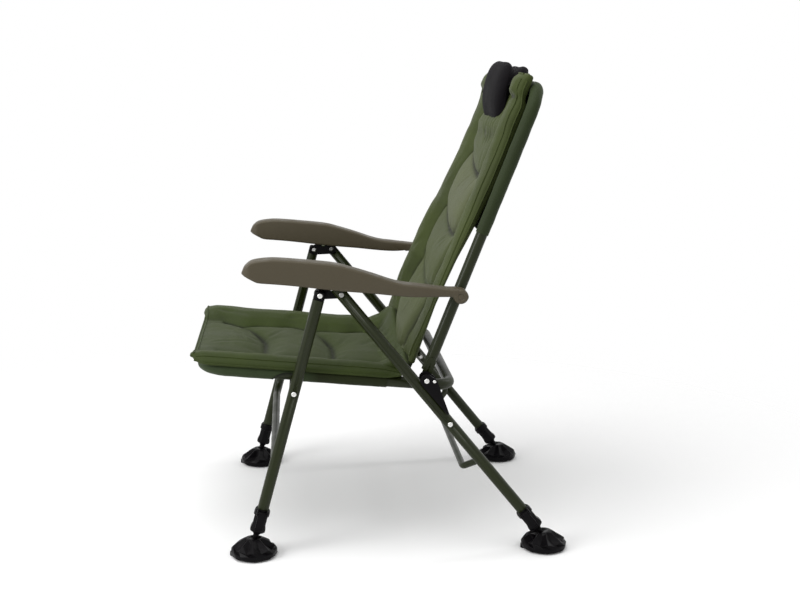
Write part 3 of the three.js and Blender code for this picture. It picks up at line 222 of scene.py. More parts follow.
def finish_mesh(name, mesh, finish, smooth=35):
    """An object from a bmesh, with its finish, outward normals, and shading smooth up to an angle."""
    bmesh.ops.recalc_face_normals(mesh, faces=mesh.faces)
    data = bpy.data.meshes.new(name)
    mesh.to_mesh(data)
    mesh.free()
    piece = bpy.data.objects.new(name, data)
    scene.collection.objects.link(piece)
    data.materials.append(finish)
    pick(piece)
    bpy.ops.object.shade_smooth_by_angle(angle=math.radians(smooth))
    return piece


def mirror_copy(piece, name):
    """The same piece on the chair's other side, with its own mesh."""
    data = piece.data.copy()
    data.transform(Matrix.Scale(-1, 4, (1, 0, 0)))
    data.flip_normals()
    other = bpy.data.objects.new(name, data)
    scene.collection.objects.link(other)
    return other


def fit(piece, node, body):
    """Put a piece on its body, in place of its node."""
    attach(piece, body)
    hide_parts(node)


def fit_pair(piece, node, body):
    """A piece made for the left side, and its copy on the right, each in place of its node."""
    other = mirror_copy(piece, piece.name.replace("left", "right"))
    for each, side in ((piece, "left"), (other, "right")):
        fit(each, f"{node}_{side}", body.replace("SIDE", side))


def joined(name, pieces):
    """Several objects made one, each of them still closed."""
    pick(*pieces)
    bpy.ops.object.join()
    pieces[0].name = name
    return pieces[0]


def carve(piece, cutters):
    """Cut each of some solids out of a piece. They are used up."""
    for cutter in cutters:
        change = piece.modifiers.new("cut", "BOOLEAN")
        change.operation, change.object, change.solver = "DIFFERENCE", cutter, "EXACT"
        pick(piece)
        bpy.ops.object.modifier_apply(modifier=change.name)
        bpy.data.objects.remove(cutter)
    return piece


def block(matrix):
    """A unit cube carried to its place and size."""
    bpy.ops.mesh.primitive_cube_add(size=1)
    piece = bpy.context.object
    piece.data.transform(matrix)
    return piece


def band(mesh, ring, following):
    """Faces between two closed rings of as many points."""
    for k in range(len(ring)):
        n = (k + 1) % len(ring)
        mesh.faces.new((ring[k], ring[n], following[n], following[k]))


def lofted(name, matrix, rings, finish, smooth=35, round_again=False):
    """A skin through rings of as many points, with flat ends or from the last ring back to the first."""
    mesh = bmesh.new()
    made = [[mesh.verts.new(matrix @ p) for p in ring] for ring in rings]
    if not round_again:
        mesh.faces.new(made[0])
        mesh.faces.new(made[-1])
    for ring, following in zip(made, made[1:] + made[:1] if round_again else made[1:]):
        band(mesh, ring, following)
    return finish_mesh(name, mesh, finish, smooth)


def bent_path(corners, bend, steps=10):
    """Points along straight runs joined by round bends."""
    points = [corners[0]]
    for before, corner, after in zip(corners, corners[1:], corners[2:]):
        come, go = (corner - before).normalized(), (after - corner).normalized()
        turn = come.angle(go)
        reach = bend * math.tan(turn / 2)
        centre = corner + (go - come).normalized() * (bend / math.cos(turn / 2))
        axis = come.cross(go).normalized()
        start = corner - come * reach
        for i in range(steps + 1):
            points.append(centre + Matrix.Rotation(turn * i / steps, 3, axis) @ (start - centre))
    return points + [corners[-1]]


def subdivided(points, step):
    """A path with a point at least every step."""
    fine = []
    for start, end in zip(points, points[1:]):
        count = max(1, math.ceil((end - start).length / step))
        fine += [start.lerp(end, i / count) for i in range(count)]
    return fine + [points[-1]]


def tube(name, matrix, points, radius, wall, finish, count=28, ripple=None, lip=0.0005):
    """A hollow tube along points, with eased lips at its ends. A wall of 0 makes a solid cord."""
    ways = [(after - before).normalized()
            for before, after in zip(points[:1] + points, points[1:] + points[-1:])]
    normal = ways[0].orthogonal().normalized()
    stations, last = [], ways[0]
    for point, way in zip(points, ways):
        normal = (last.rotation_difference(way) @ normal).normalized()
        last = way
        stations.append((point, way, normal))
    first, final = stations[0], stations[-1]
    outer = [(*first, radius - lip), (first[0] + first[1] * lip, *first[1:], radius)]
    outer += [(*station, radius) for station in stations[1:-1]]
    outer += [(final[0] - final[1] * lip, *final[1:], radius), (*final, radius - lip)]
    inner = [(*station, radius - wall) for station in reversed(stations)] if wall else []
    rings = []
    for point, way, side, size in outer + inner:
        across = way.cross(side)
        ring = []
        for k in range(count):
            angle = 2 * math.pi * k / count
            spoke = math.cos(angle) * side + math.sin(angle) * across
            place = point + size * spoke
            if ripple and size > radius - lip / 2:
                place = place + spoke * ripple(place)
            ring.append(place)
        rings.append(ring)
    return lofted(name, matrix, rings, finish, round_again=wall > 0)


def round_plate(name, matrix, discs, low, high, finish, bevel=0.0006):
    """A plate between two places in X, round the outside of discs in the side view."""
    flat = bmesh.new()
    for place, radius in discs:
        for k in range(48):
            a = 2 * math.pi * k / 48
            flat.verts.new((0, place.y + radius * math.cos(a), place.z + radius * math.sin(a)))
    hull = bmesh.ops.convex_hull(flat, input=flat.verts)
    kept = {v for v in hull["geom"] if isinstance(v, bmesh.types.BMVert)}
    middle = sum((v.co for v in kept), V((0, 0, 0))) / len(kept)
    outline = sorted((v.co.copy() for v in kept), key=lambda c: math.atan2(c.z - middle.z, c.y - middle.y))
    flat.free()
    inset = [middle + (c - middle) * (1 - bevel / (c - middle).length) for c in outline]
    levels = ((low, inset), (low + bevel, outline), (high - bevel, outline), (high, inset))
    return lofted(name, matrix, [[V((x, c.y, c.z)) for c in ring] for x, ring in levels], finish)


def bar_x(matrix, place, radius, low, high, finish):
    """A round bar along X, to cut with."""
    return round_plate("bar", matrix, [(place, radius)], low, high, finish, bevel=0.00001)


def loop(points):
    """A run's points on the left, carried round to their mirror images on the right."""
    return points + [V((-point.x, point.y, point.z)) for point in reversed(points)]


tube_paint = coated("tube_paint", (0.0110, 0.0152, 0.0022), 0.42, 0.0, 900, 0.02, coat=0.13, shine=0.16)
leg_plane, tube_radius, tube_wall, bolt_bore = 0.31, 0.0125, 0.0013, 0.0042
leg_span = (leg_plane - 0.02, leg_plane + 0.02)

piece = tube(
    "front_leg_tube_left", front_leg_frame, [V((leg_plane, 0, -0.011)), V((leg_plane, 0, -0.53825))],
    tube_radius, tube_wall, tube_paint, count=40,
)
carve(piece, [bar_x(front_leg_frame, V((0, 0, -0.222)), bolt_bore, *leg_span, tube_paint)])
fit_pair(piece, "front_leg", "front_frame")

piece = tube(
    "rear_leg_tube_left", rear_leg_frame, [V((leg_plane, 0, 0.06)), V((leg_plane, 0, -0.68395))],
    tube_radius, tube_wall, tube_paint, count=40,
)
# The leg's top is cut level, 8 mm above its bolt
cutter_size, level_cut = 0.3, 0.5851 + 0.008
carve(piece, [block(Matrix.Translation((leg_plane, -0.0916, level_cut + cutter_size / 2))
                    @ Matrix.Scale(cutter_size, 4))])
carve(piece, [bar_x(rear_leg_frame, V((0, 0, z)), bolt_bore, *leg_span, tube_paint) for z in (0, -0.375)])
fit_pair(piece, "rear_leg", "rear_frame")

seat_half, back_half, seat_axis = 0.27, 0.278, -0.0206
hook_pin = V((0, -0.28283, -0.051))
hook_turn = math.radians(34.4)
bars = (
    ("front_stretcher", front_leg_frame, "front_frame", 0.0092, 0.0012, 0.035, [
        V((0.288, 0, -0.214)), V((0.288, 0, -0.392))]),
    ("rear_stretcher", rear_leg_frame, "rear_frame", 0.0075, 0.0012, 0.022, [
        V((0.2897, 0, -0.367)), V((0.2897, 0, -0.494)), V((0.2497, -0.0454, -0.494))]),
    ("seat_frame", seat_frame, "seat", tube_radius, tube_wall, 0.055, [
        V((seat_half, -0.03, seat_axis)), V((seat_half, -0.482, seat_axis))]),
    ("seat_rear_bar", seat_frame, "seat", tube_radius, tube_wall, 0.042, [
        V((seat_half, -0.0297, seat_axis)), V((seat_half, 0.062, seat_axis))]),
    ("back_frame", back_frame, "backrest", tube_radius, tube_wall, 0.058, [
        V((back_half, 0, 0.013)), V((back_half, 0, 0.666))]),
)
# Each welded lug: its two faces in X, the height it reaches up to, and its round
lugs = {"seat_rear_bar": (0.2815, 0.289, seat_axis, 0.01), "back_frame": (0.2895, 0.2935, 0.0355, 0.0105)}
hook_half, hook_bore, hook_round, hook_rise = 0.005, 0.0044, 0.01, 0.024
for node, matrix, body, radius, wall, bend, half in bars:
    parts = [tube(node, matrix, bent_path(loop(half), bend), radius, wall, tube_paint)]
    for side in (1, -1):
        if node == "seat_rear_bar":
            plug = [V((side * seat_half, -0.066, seat_axis)), V((side * seat_half, -0.02, seat_axis))]
            parts.append(tube("plug", matrix, plug, 0.0107, 0.0011, tube_paint))
        if node in lugs:
            # The lug has the hole for the hinge bolt
            near, far, reach, lug_round = lugs[node]
            low, high = sorted((side * near, side * far))
            ends = [(V((0, 0, 0)), lug_round), (V((0, 0, reach)), lug_round)]
            lug = round_plate("lug", matrix, ends, low, high, tube_paint)
            hole = bar_x(matrix, V((0, 0, 0)), bolt_bore, low - 0.01, high + 0.01, tube_paint)
            parts.append(carve(lug, [hole]))
        if node == "seat_frame":
            # A hook under each side, open below for the bolt that it rests on
            low, high = side * seat_half - hook_half, side * seat_half + hook_half
            ends = [(hook_pin, hook_round), (hook_pin + V((0, 0, hook_rise)), hook_round)]
            lug = round_plate("hook", matrix, ends, low, high, tube_paint)
            slit = block(
                matrix @ Matrix.Translation(hook_pin + V((side * seat_half, 0, 0)))
                @ Matrix.Rotation(hook_turn, 4, "X")
                @ Matrix.Translation((0, 0, -0.01)) @ Matrix.Diagonal((0.04, 2 * hook_bore, 0.02, 1)))
            hole = bar_x(matrix, hook_pin, hook_bore, low - 0.01, high + 0.01, tube_paint)
            parts.append(carve(lug, [hole, slit]))
    fit(joined(f"{node}_tube", parts), node, body)

# Plates and leg eyes
# Pressed 3 mm steel plates coated satin black, their edges eased. The eyes are moulded plugs.
black_steel = coated("black_steel", (0.003, 0.0026, 0.003), 0.42, 0.0, 1100, 0.08, shine=0.08)


def dressed(node, name, finish, edge, segments=3, sharp=28, smooth=40):
    """A node's own shape with its flats merged and its edges eased."""
    mesh = bmesh.new()
    mesh.from_mesh(nodes[node].data)
    bmesh.ops.remove_doubles(mesh, verts=mesh.verts, dist=0.000005)
    bmesh.ops.dissolve_limit(
        mesh, angle_limit=math.radians(1), verts=mesh.verts, edges=mesh.edges, delimit={"NORMAL"})
    edges = [e for e in mesh.edges if len(e.link_faces) == 2 and e.calc_face_angle() > math.radians(sharp)]
    bmesh.ops.bevel(mesh, geom=edges, offset=edge, segments=segments, profile=0.5, affect="EDGES",
                    clamp_overlap=True)
    return finish_mesh(name, mesh, finish, smooth)


fit_pair(dressed("leg_top_plate_left", "top_plate_left", black_steel, 0.0006),
         "leg_top_plate", "rear_frame")
fit_pair(dressed("hinge_plate_left", "hinge_channel_left", black_steel, 0.0006),
         "hinge_plate", "rear_frame")


def revolved(name, matrix, pairs, finish, count=48, shape=None, smooth=35):
    """A turned piece round Z from pairs of radius and height. A shape may alter each point."""
    mesh = bmesh.new()
    rings = []
    for radius, height in pairs:
        if radius == 0:
            rings.append([mesh.verts.new(matrix @ V((0, 0, height)))])
            continue
        ring = []
        for k in range(count):
            angle = 2 * math.pi * k / count
            r, h = shape(radius, height, angle) if shape else (radius, height)
            ring.append(mesh.verts.new(matrix @ V((r * math.cos(angle), r * math.sin(angle), h))))
        rings.append(ring)
    closed = pairs[0] == pairs[-1]
    if closed:
        for vert in rings.pop():
            mesh.verts.remove(vert)
    for i in range(len(rings) if closed else len(rings) - 1):
        ring, following = rings[i], rings[(i + 1) % len(rings)]
        if len(ring) == len(following):
            band(mesh, ring, following)
            continue
        tip, rim = sorted((ring, following), key=len)
        for k in range(count):
            mesh.faces.new((tip[0], rim[k], rim[(k + 1) % count]))
    return finish_mesh(name, mesh, finish, smooth)


def eased(pairs, radius, steps=3):
    """A turned profile with each inner corner rounded."""
    points = [V((r, 0, h)) for r, h in pairs]
    smooth_pairs = [pairs[0]]
    for before, corner, after in zip(points, points[1:], points[2:]):
        reach = min(radius, (corner - before).length * 0.45, (after - corner).length * 0.45)
        start = corner + (before - corner).normalized() * reach
        end = corner + (after - corner).normalized() * reach
        for i in range(steps + 1):
            t = i / steps
            point = (1 - t) ** 2 * start + 2 * t * (1 - t) * corner + t * t * end
            smooth_pairs.append((max(point.x, 0.0), point.z))
    return smooth_pairs + [pairs[-1]]


black_plastic = coated("black_plastic", (0.003, 0.0026, 0.0032), 0.3, 0.0, 1200, 0.12, shine=0.07)
eye_profile = [
    (0, 0.009), (0.0105, 0.009), (tube_radius, 0.0062), (tube_radius, -0.0102), (0.0103, -0.0106),
    (0.0103, -0.031), (0, -0.031),
]
piece = revolved(
    "leg_eye_left", front_leg_frame @ Matrix.Translation((leg_plane, 0, 0)), eased(eye_profile, 0.002),
    black_plastic)
carve(piece, [bar_x(front_leg_frame, V((0, 0, 0)), bolt_bore, *leg_span, black_plastic)])
fit_pair(piece, "front_leg_eye", "front_frame")

# Fasteners
# Slotted dome-head bolts, most with hex nuts, and plain rivets and pins, in bright zinc; the rear leg bolts
# are dull zinc.
zinc = coated("bright_zinc", (0.7, 0.7, 0.68), 0.22, 1.0, 1500, 0.1)


def lying(low, high, place):
    """A frame whose Z runs along X from one place to another."""
    way = 1 if high > low else -1
    return Matrix.Translation((low, place.y, place.z)) @ Matrix.Rotation(way * math.pi / 2, 4, "Y")


def dome_bolt(name, node, finish, slotted=True, nut=True):
    """A bolt along X in a node's place: domed slotted head outside, washer face and hex nut inside."""
    low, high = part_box(node)
    middle = (V(low) + V(high)) / 2
    length = high[0] - low[0]
    matrix = lying(high[0], low[0], middle)
    head, head_height, shank, nut_height = 0.0056, 0.0028, 0.0039, 0.0022
    slot_length, slot_width, slot_depth, slot_turn = 0.0124, 0.0012, 0.0011, math.radians(38)
    dome = [(head * math.sin(a), head_height * (1 - math.cos(a)) * 0.75)
            for a in (math.radians(10 * i) for i in range(1, 9))]
    profile = [(0, 0)] + dome + [(head, head_height * 0.86), (head, head_height), (shank, head_height)]
    if nut:
        profile += [(shank, length), (0, length)]
    else:
        profile += [(shank, length - 0.0006), (shank - 0.0006, length), (0, length)]
    parts = [revolved(name, matrix, profile, finish, count=40, smooth=30)]
    if slotted:
        slot = Matrix.Diagonal((slot_length, slot_width, 2 * slot_depth, 1))
        carve(parts[0], [block(matrix @ Matrix.Rotation(slot_turn, 4, "Z") @ slot)])
    if nut:
        hexagon = [(0.0044, length - nut_height), (0.0054, length - nut_height + 0.0003),
                   (0.0054, length - 0.0004), (0.0043, length), (0.003, length), (0.003, length - nut_height),
                   (0.0044, length - nut_height)]
        parts.append(revolved("nut", matrix, hexagon, finish, count=6, smooth=10))
    return joined(name, parts)


dull_zinc = coated("dull_zinc", (0.3, 0.3, 0.29), 0.32, 1.0, 1500, 0.12)
for name, node, body, finish, nut in (
    ("pivot_bolt_front_left", "front_pivot_bolt", "rear_frame", zinc, True),
    ("leg_bolt_rear_left", "rear_leg_bolt", "rear_frame", dull_zinc, True),
    ("pivot_bolt_hinge_left", "hinge_bolt", "rear_frame", zinc, True),
    ("stretcher_bolt_rear_left", "rear_stretcher_bolt", "rear_frame", zinc, True),
    ("stretcher_bolt_front_left", "front_stretcher_bolt", "front_frame", zinc, False),
):
    fit_pair(dome_bolt(name, f"{node}_left", finish, nut=nut), node, body)


def headed_pin(name, node, radius, head, head_height, outside, finish):
    """A pin along X in a node's place, with one low domed head and a chamfered end."""
    low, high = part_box(node)
    middle = (V(low) + V(high)) / 2
    length = high[0] - low[0]
    matrix = lying(high[0], low[0], middle) if outside else lying(low[0], high[0], middle)
    profile = [
        (0, 0), (head * 0.45, 0.0001), (head * 0.8, head_height * 0.28), (head, head_height * 0.7),
        (head, head_height), (radius, head_height), (radius, length - 0.0005), (radius - 0.0005, length),
        (0, length),
    ]
    return revolved(name, matrix, profile, finish, count=32, smooth=30)


fit_pair(headed_pin("stop_rivet_left", "hinge_stop_pin_left", 0.0022, 0.0034, 0.0016, True, zinc),
         "hinge_stop_pin", "rear_frame")
low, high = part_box("rack_pin_left")
rack_head = (high[2] - low[2]) / 2
fit_pair(headed_pin("rack_rest_pin_left", "rack_pin_left", 0.004, rack_head, 0.0012, False, zinc),
         "rack_pin", "rear_frame")

# Clamps, levers and mud feet
# Glossy black nylon mouldings: a lipped collar on each leg with a cam lever, and a faceted dome
# on a ball joint. The inner tube slides in the collar and ends in the ball.
legs = (("front", front_leg_frame, -14.8, 0.57425), ("rear", rear_leg_frame, 39.3, 0.71995))
ball_height = 0.028
clamp_profile = eased([
    (0.01115, 0.0275), (0.0145, 0.0275), (0.0174, 0.031), (0.0174, 0.037), (0.015, 0.046),
    (0.015, 0.066), (0.0166, 0.0672), (0.0166, 0.080), (0.0156, 0.083), (0.0129, 0.083),
    (0.0129, 0.0354), (0.01115, 0.0354), (0.01115, 0.0275),
], 0.0009)
clamp_profile[-1] = clamp_profile[0]


def clamp_shape(radius, height, angle):
    """Eight flats round the collar's body, and a lip that dips on two sides."""
    if radius > 0.0135 and height < 0.0665:
        flat = (angle + math.pi / 8) % (math.pi / 4) - math.pi / 8
        radius *= math.cos(math.pi / 8) ** 0.6 / math.cos(flat) ** 0.9
    if height > 0.0665:
        height -= 0.0035 * math.sin(angle) ** 6 * (height - 0.0665) / 0.0165
        radius += 0.0006 * abs(math.cos(2 * angle)) if radius > 0.0155 else 0
    return radius, height


def slide_profile():
    """A closed tube that narrows to a neck and ends in a ball."""
    ball, neck = 0.011, 0.005
    points = [(0, -ball)]
    for a in range(-75, 60, 12):
        points.append((ball * math.cos(math.radians(a)), ball * math.sin(math.radians(a))))
    points += [
        (neck, 0.0098), (neck, 0.013), (0.0065, 0.017), (0.0065, 0.021), (0.0104, 0.0262),
        (0.01065, 0.0275), (0.01065, 0.1718), (0.0104, 0.172), (0.0094, 0.172), (0.0093, 0.031), (0, 0.031),
    ]
    return points


def foot_dome(name, lean, ball_y):
    """A mud foot: triangular facets between ridges on a flat base, a socket for the ball, a peg lug."""
    place = Matrix.Translation((leg_plane, ball_y, 0))
    rings = [
        # height and radius on the ridges, height and radius between them, turn in half steps
        (0.0, 0.0445, 0.0, 0.0435, 0), (0.0045, 0.0515, 0.0045, 0.050, 0),
        (0.0125, 0.0515, 0.015, 0.0508, 1), (0.022, 0.0465, 0.0165, 0.0425, 0),
        (0.0305, 0.0335, 0.0235, 0.0288, 0), (0.0375, 0.0215, 0.033, 0.0188, 0),
        (0.040, 0.0162, 0.040, 0.0162, 0),
    ]
    count = 16
    mesh = bmesh.new()
    made = []
    for ridge_h, ridge_r, low_h, low_r, turn in rings:
        ring = []
        for k in range(count):
            angle = 2 * math.pi * (k + turn / 2) / count
            h, r = (ridge_h, ridge_r) if k % 2 == 0 else (low_h, low_r)
            ring.append(mesh.verts.new(place @ V((r * math.cos(angle), r * math.sin(angle), h))))
        made.append(ring)
    mesh.faces.new(made[0])
    mesh.faces.new(made[-1])
    for ring, following in zip(made, made[1:]):
        for k in range(count):
            n = (k + 1) % count
            mesh.faces.new((ring[k], ring[n], following[k]))
            mesh.faces.new((ring[n], following[n], following[k]))
    bmesh.ops.recalc_face_normals(mesh, faces=mesh.faces)
    edges = [e for e in mesh.edges if e.calc_face_angle() > math.radians(9)]
    bmesh.ops.bevel(
        mesh, geom=edges, offset=0.0006, segments=2, profile=0.5, affect="EDGES", clamp_overlap=True)
    dome = finish_mesh(name, mesh, black_plastic, 12)
    centre = place @ Matrix.Translation((0, 0, ball_height))
    flare = math.tan(math.radians(43.5))
    mouth_height = 0.04
    mouth = revolved(
        "mouth", centre @ Matrix.Rotation(math.radians(lean), 4, "X"),
        [(0, 0), (mouth_height * flare, mouth_height), (0, mouth_height)], black_plastic)
    bpy.ops.mesh.primitive_uv_sphere_add(segments=40, ring_count=20, radius=0.01135)
    socket = bpy.context.object
    socket.data.transform(centre)
    carve(dome, [mouth, socket])
    lug = revolved(
        "lug", place @ Matrix.Translation((0, -0.046, 0)),
        eased([(0, 0.0002), (0.0068, 0.0002), (0.0068, 0.0096), (0, 0.0096)], 0.0012), black_plastic)
    return joined(name, [dome, lug])


ear_out, ear_aside, ear_height, ear_size = 0.0185, 0.0102, 0.076, (0.013, 0.0032, 0.014)
for leg, matrix, lean, length in legs:
    end = matrix @ Matrix.Translation((leg_plane, 0, -length))
    ball_y = end.translation.y
    collar = revolved(
        f"{leg}_clamp_left", end, clamp_profile, black_plastic, count=64, shape=clamp_shape, smooth=25)
    ears = []
    for aside in (ear_aside, -ear_aside):
        ear = block(Matrix.Translation((ear_out, aside, ear_height)) @ Matrix.Diagonal((*ear_size, 1)))
        mesh = bmesh.new()
        mesh.from_mesh(ear.data)
        bmesh.ops.bevel(mesh, geom=mesh.edges, offset=0.001, segments=3, profile=0.5, affect="EDGES")
        mesh.transform(end)
        bpy.data.objects.remove(ear)
        ears.append(finish_mesh("ear", mesh, black_plastic))
    collar = joined(f"{leg}_clamp_left", [collar] + ears)
    fit_pair(collar, f"{leg}_leg_clamp", f"{leg}_frame")
    lever = dressed(f"{leg}_lock_lever_left", f"{leg}_cam_lever_left", black_plastic, 0.0009)
    fit_pair(lever, f"{leg}_lock_lever", f"{leg}_lock_lever_SIDE_body")
    low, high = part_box(f"{leg}_lever_pin_left")
    middle = (V(low) + V(high)) / 2
    pin_way = Matrix.Translation(middle) @ Matrix.Rotation(math.pi / 2, 4, "X")
    half = (high[1] - low[1]) / 2
    pin = revolved(
        f"{leg}_cam_pin_left", pin_way,
        eased([(0, -half), (0.002, -half), (0.002, half), (0, half)], 0.0004), black_steel, count=24)
    fit_pair(pin, f"{leg}_lever_pin", f"{leg}_frame")
    slide = revolved(f"{leg}_slide_left", end, slide_profile(), black_steel, count=40)
    fit_pair(slide, f"{leg}_leg_extension", f"{leg}_leg_extension_SIDE_body")
    foot = foot_dome(f"{leg}_foot_left", lean, ball_y)
    fit_pair(foot, f"{leg}_mud_foot", f"{leg}_mud_foot_SIDE_body")

# Armrests
# Hollow nylon mouldings in warm grey-brown with a fine spark-eroded grain, open below. Each turns
# on a sunk bolt in its rear boss, and a notched rack in its hollow rests on the pin between the legs.
arm_plastic = coated("arm_plastic", (0.057, 0.046, 0.0255), 0.5, 0.0, 1400, 0.2, shine=0.36)
arm_length, arm_height, lug_radius, arm_edge = 0.465, 0.0825, 0.016, 0.0055
arm_inner, arm_outer, arm_lug_inner, arm_lug_outer = 0.288, 0.332, 0.2915, 0.330
nose_round, shoulder, arm_wall, ceiling = 0.019, 0.046, 0.0032, 0.004
arm_frame = Matrix.Translation((0, 0.1635855, 0.579675))


def curve_point(a, b, c, d, t):
    """A place on the smooth curve from b to c, with a before them and d after."""
    turn, twist = 2 * a - 5 * b + 4 * c - d, 3 * b - a - 3 * c + d
    return 0.5 * (2 * b + (c - a) * t + turn * t ** 2 + twist * t ** 3)


def smooth_curve(pairs, count):
    """Points along a curve through some places, in the side view."""
    points = [V((0, y, z)) for y, z in pairs]
    points = [2 * points[0] - points[1]] + points + [2 * points[-1] - points[-2]]
    curve = []
    for four in zip(points, points[1:], points[2:], points[3:]):
        curve += [curve_point(*four, i / count) for i in range(count)]
    return curve + [points[-2]]


arm_top = smooth_curve([(-y * arm_length, z * arm_height) for y, z in (
    (1, 0.66), (0.993, 0.742), (0.982, 0.828), (0.955, 0.935), (0.91, 0.985), (0.845, 1), (0.718, 0.945),
    (0.585, 0.867), (0.498, 0.745), (0.41, 0.594), (0.294, 0.382), (0.189, 0.297), (0.053, 0.212))], 12)
arm_bottom = smooth_curve([(-y * arm_length, z * arm_height) for y, z in (
    (1, 0.60), (0.98, 0.543), (0.955, 0.468), (0.936, 0.413), (0.918, 0.389), (0.88, 0.370), (0.761, 0.309),
    (0.561, 0.176), (0.412, 0.103), (0.234, 0.006), (0.058, -0.006))], 12)
top_y, top_z = [p.y for p in arm_top], [p.z for p in arm_top]
bottom_y, bottom_z = [p.y for p in arm_bottom], [p.z for p in arm_bottom]


def arm_heights(y):
    """The armrest's top and bottom at a place, with its round boss at the rear."""
    t, b = float(np.interp(y, top_y, top_z)), float(np.interp(y, bottom_y, bottom_z))
    boss = math.sqrt(max(0.0, lug_radius ** 2 - y * y))
    if y > -0.006:
        return boss, -boss
    if y > -0.034:
        return max(t, boss), min(b, -boss)
    return t, b


def rounded_section(y, low_x, high_x, low_z, high_z, edge, steps=5):
    """A rectangle with rounded corners across an armrest."""
    edge = max(0.0001, min(edge, (high_x - low_x) * 0.49, (high_z - low_z) * 0.49))
    ring = []
    for cx, cz, start in (
        (high_x - edge, high_z - edge, 0), (low_x + edge, high_z - edge, 90),
        (low_x + edge, low_z + edge, 180), (high_x - edge, low_z + edge, 270),
    ):
        for i in range(steps + 1):
            a = math.radians(start + 90 * i / steps)
            ring.append(V((cx + edge * math.cos(a), y, cz + edge * math.sin(a))))
    return ring


places = [-arm_length + 0.019 * (1 - math.cos(math.radians(a))) + 0.0001 for a in range(0, 91, 5)]
places += list(np.linspace(-arm_length + 0.022, -0.04, 74))
places += list(np.linspace(-0.036, -0.008, 10))
places += [lug_radius * math.sin(math.radians(a)) - 0.00001 for a in range(-24, 90, 6)]
rings = []
for y in places:
    t, b = arm_heights(y)
    ahead_of_nose = max(0.0, -y - (arm_length - nose_round))
    inset = nose_round - math.sqrt(max(0, nose_round ** 2 - ahead_of_nose ** 2))
    taper = min(1, max(0, (y + 2 * shoulder) / shoulder))
    low_x = arm_inner + inset + (arm_lug_inner - arm_inner) * taper
    high_x = arm_outer - inset + (arm_lug_outer - arm_outer) * taper
    # The nose closes in a blunt round
    ahead_of_tip = max(0.0, 1 - (y + arm_length) / 0.006)
    blunt = min(0.0062, 0.4 * (t - b)) * (1 - math.sqrt(max(0, 1 - ahead_of_tip ** 2)))
    rings.append(rounded_section(y, low_x, high_x, b + blunt, t - blunt, arm_edge))
shell = lofted("armrest_left", arm_frame, rings, arm_plastic, 50)
hollow = []
for y in np.linspace(-0.06, -arm_length + 0.055, 40):
    t, b = arm_heights(float(y))
    hollow.append(rounded_section(
        float(y), arm_inner + arm_wall, arm_outer - arm_wall, -arm_height, t - ceiling, 0.0022))
carve(shell, [lofted("hollow", arm_frame, hollow, arm_plastic)])
sink_radius, sink_depth = 0.0061, 0.0031
bores = ((bolt_bore, arm_lug_inner - 0.005, arm_lug_outer + 0.005),
         (sink_radius, arm_lug_outer - sink_depth, arm_lug_outer + 0.01))
carve(shell, [bar_x(arm_frame, V((0, 0, 0)), radius, low, high, arm_plastic) for radius, low, high in bores])
# The rack's tips stay just above the pin's path, with five round notches to drop into
pin_low, pin_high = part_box("rack_pin_left")
pin_seat = arm_frame.inverted() @ ((V(pin_low) + V(pin_high)) / 2)
pin_seat.x = 0
pin_way = pin_seat.normalized()
pin_above = V((0, pin_way.z, -pin_way.y))
travel, tip_clear, notch, rack_half = 0.0675, 0.0046, 0.0046, 0.004
way_shares, rise_shares = (-0.515, -0.39, 0.007, 0.52, 1, 1.12), (0.059, 0.044, 0, -0.022, 0, 0.012)


def tip_at(share):
    """A place just above the pin's path, by its share of the travel."""
    rise = float(np.interp(share, way_shares, rise_shares))
    return pin_seat + pin_way * (share * travel) + pin_above * (tip_clear + travel * rise)


centres = [tip_at(float(share)) for share in np.linspace(-0.39, 1, 5)]
outline = [tip for tip in (tip_at(float(share)) for share in np.linspace(1.12, -0.515, 45))
           if min((c - tip).length for c in centres) >= notch]
for centre in centres:
    for a in range(0, 181, 20):
        way = -pin_way * math.cos(math.radians(a)) + pin_above * math.sin(math.radians(a))
        outline.append(centre + way * notch)
outline.sort(key=lambda p: p.dot(pin_way))
sections = []
for tip in outline:
    roof = max(arm_heights(tip.y)[0] - ceiling / 2, tip.z + 0.001)
    sections.append([V((leg_plane + side * rack_half, tip.y, z))
                     for side, z in ((-1, tip.z), (1, tip.z), (1, roof), (-1, roof))])
rack = lofted("rack", arm_frame, sections, arm_plastic)
fit_pair(joined("armrest_left", [shell, rack]), "armrest", "armrest_SIDE")
cap_frame = arm_frame @ Matrix.Translation((arm_lug_outer, 0, 0)) @ Matrix.Rotation(math.pi / 2, 4, "Y")
cap = revolved("bolt_cap", cap_frame, [
    (0, 0.0004), (0.003, 0.00035), (0.0055, 0.0002), (0.00595, 0), (0.00595, -0.0006), (0, -0.0006),
], arm_plastic)
bolt = dome_bolt("boss_bolt_left", "armrest_bolt_left", black_steel, slotted=False)
fit_pair(joined("boss_bolt_left", [bolt, cap]), "armrest_bolt", "armrest_SIDE")

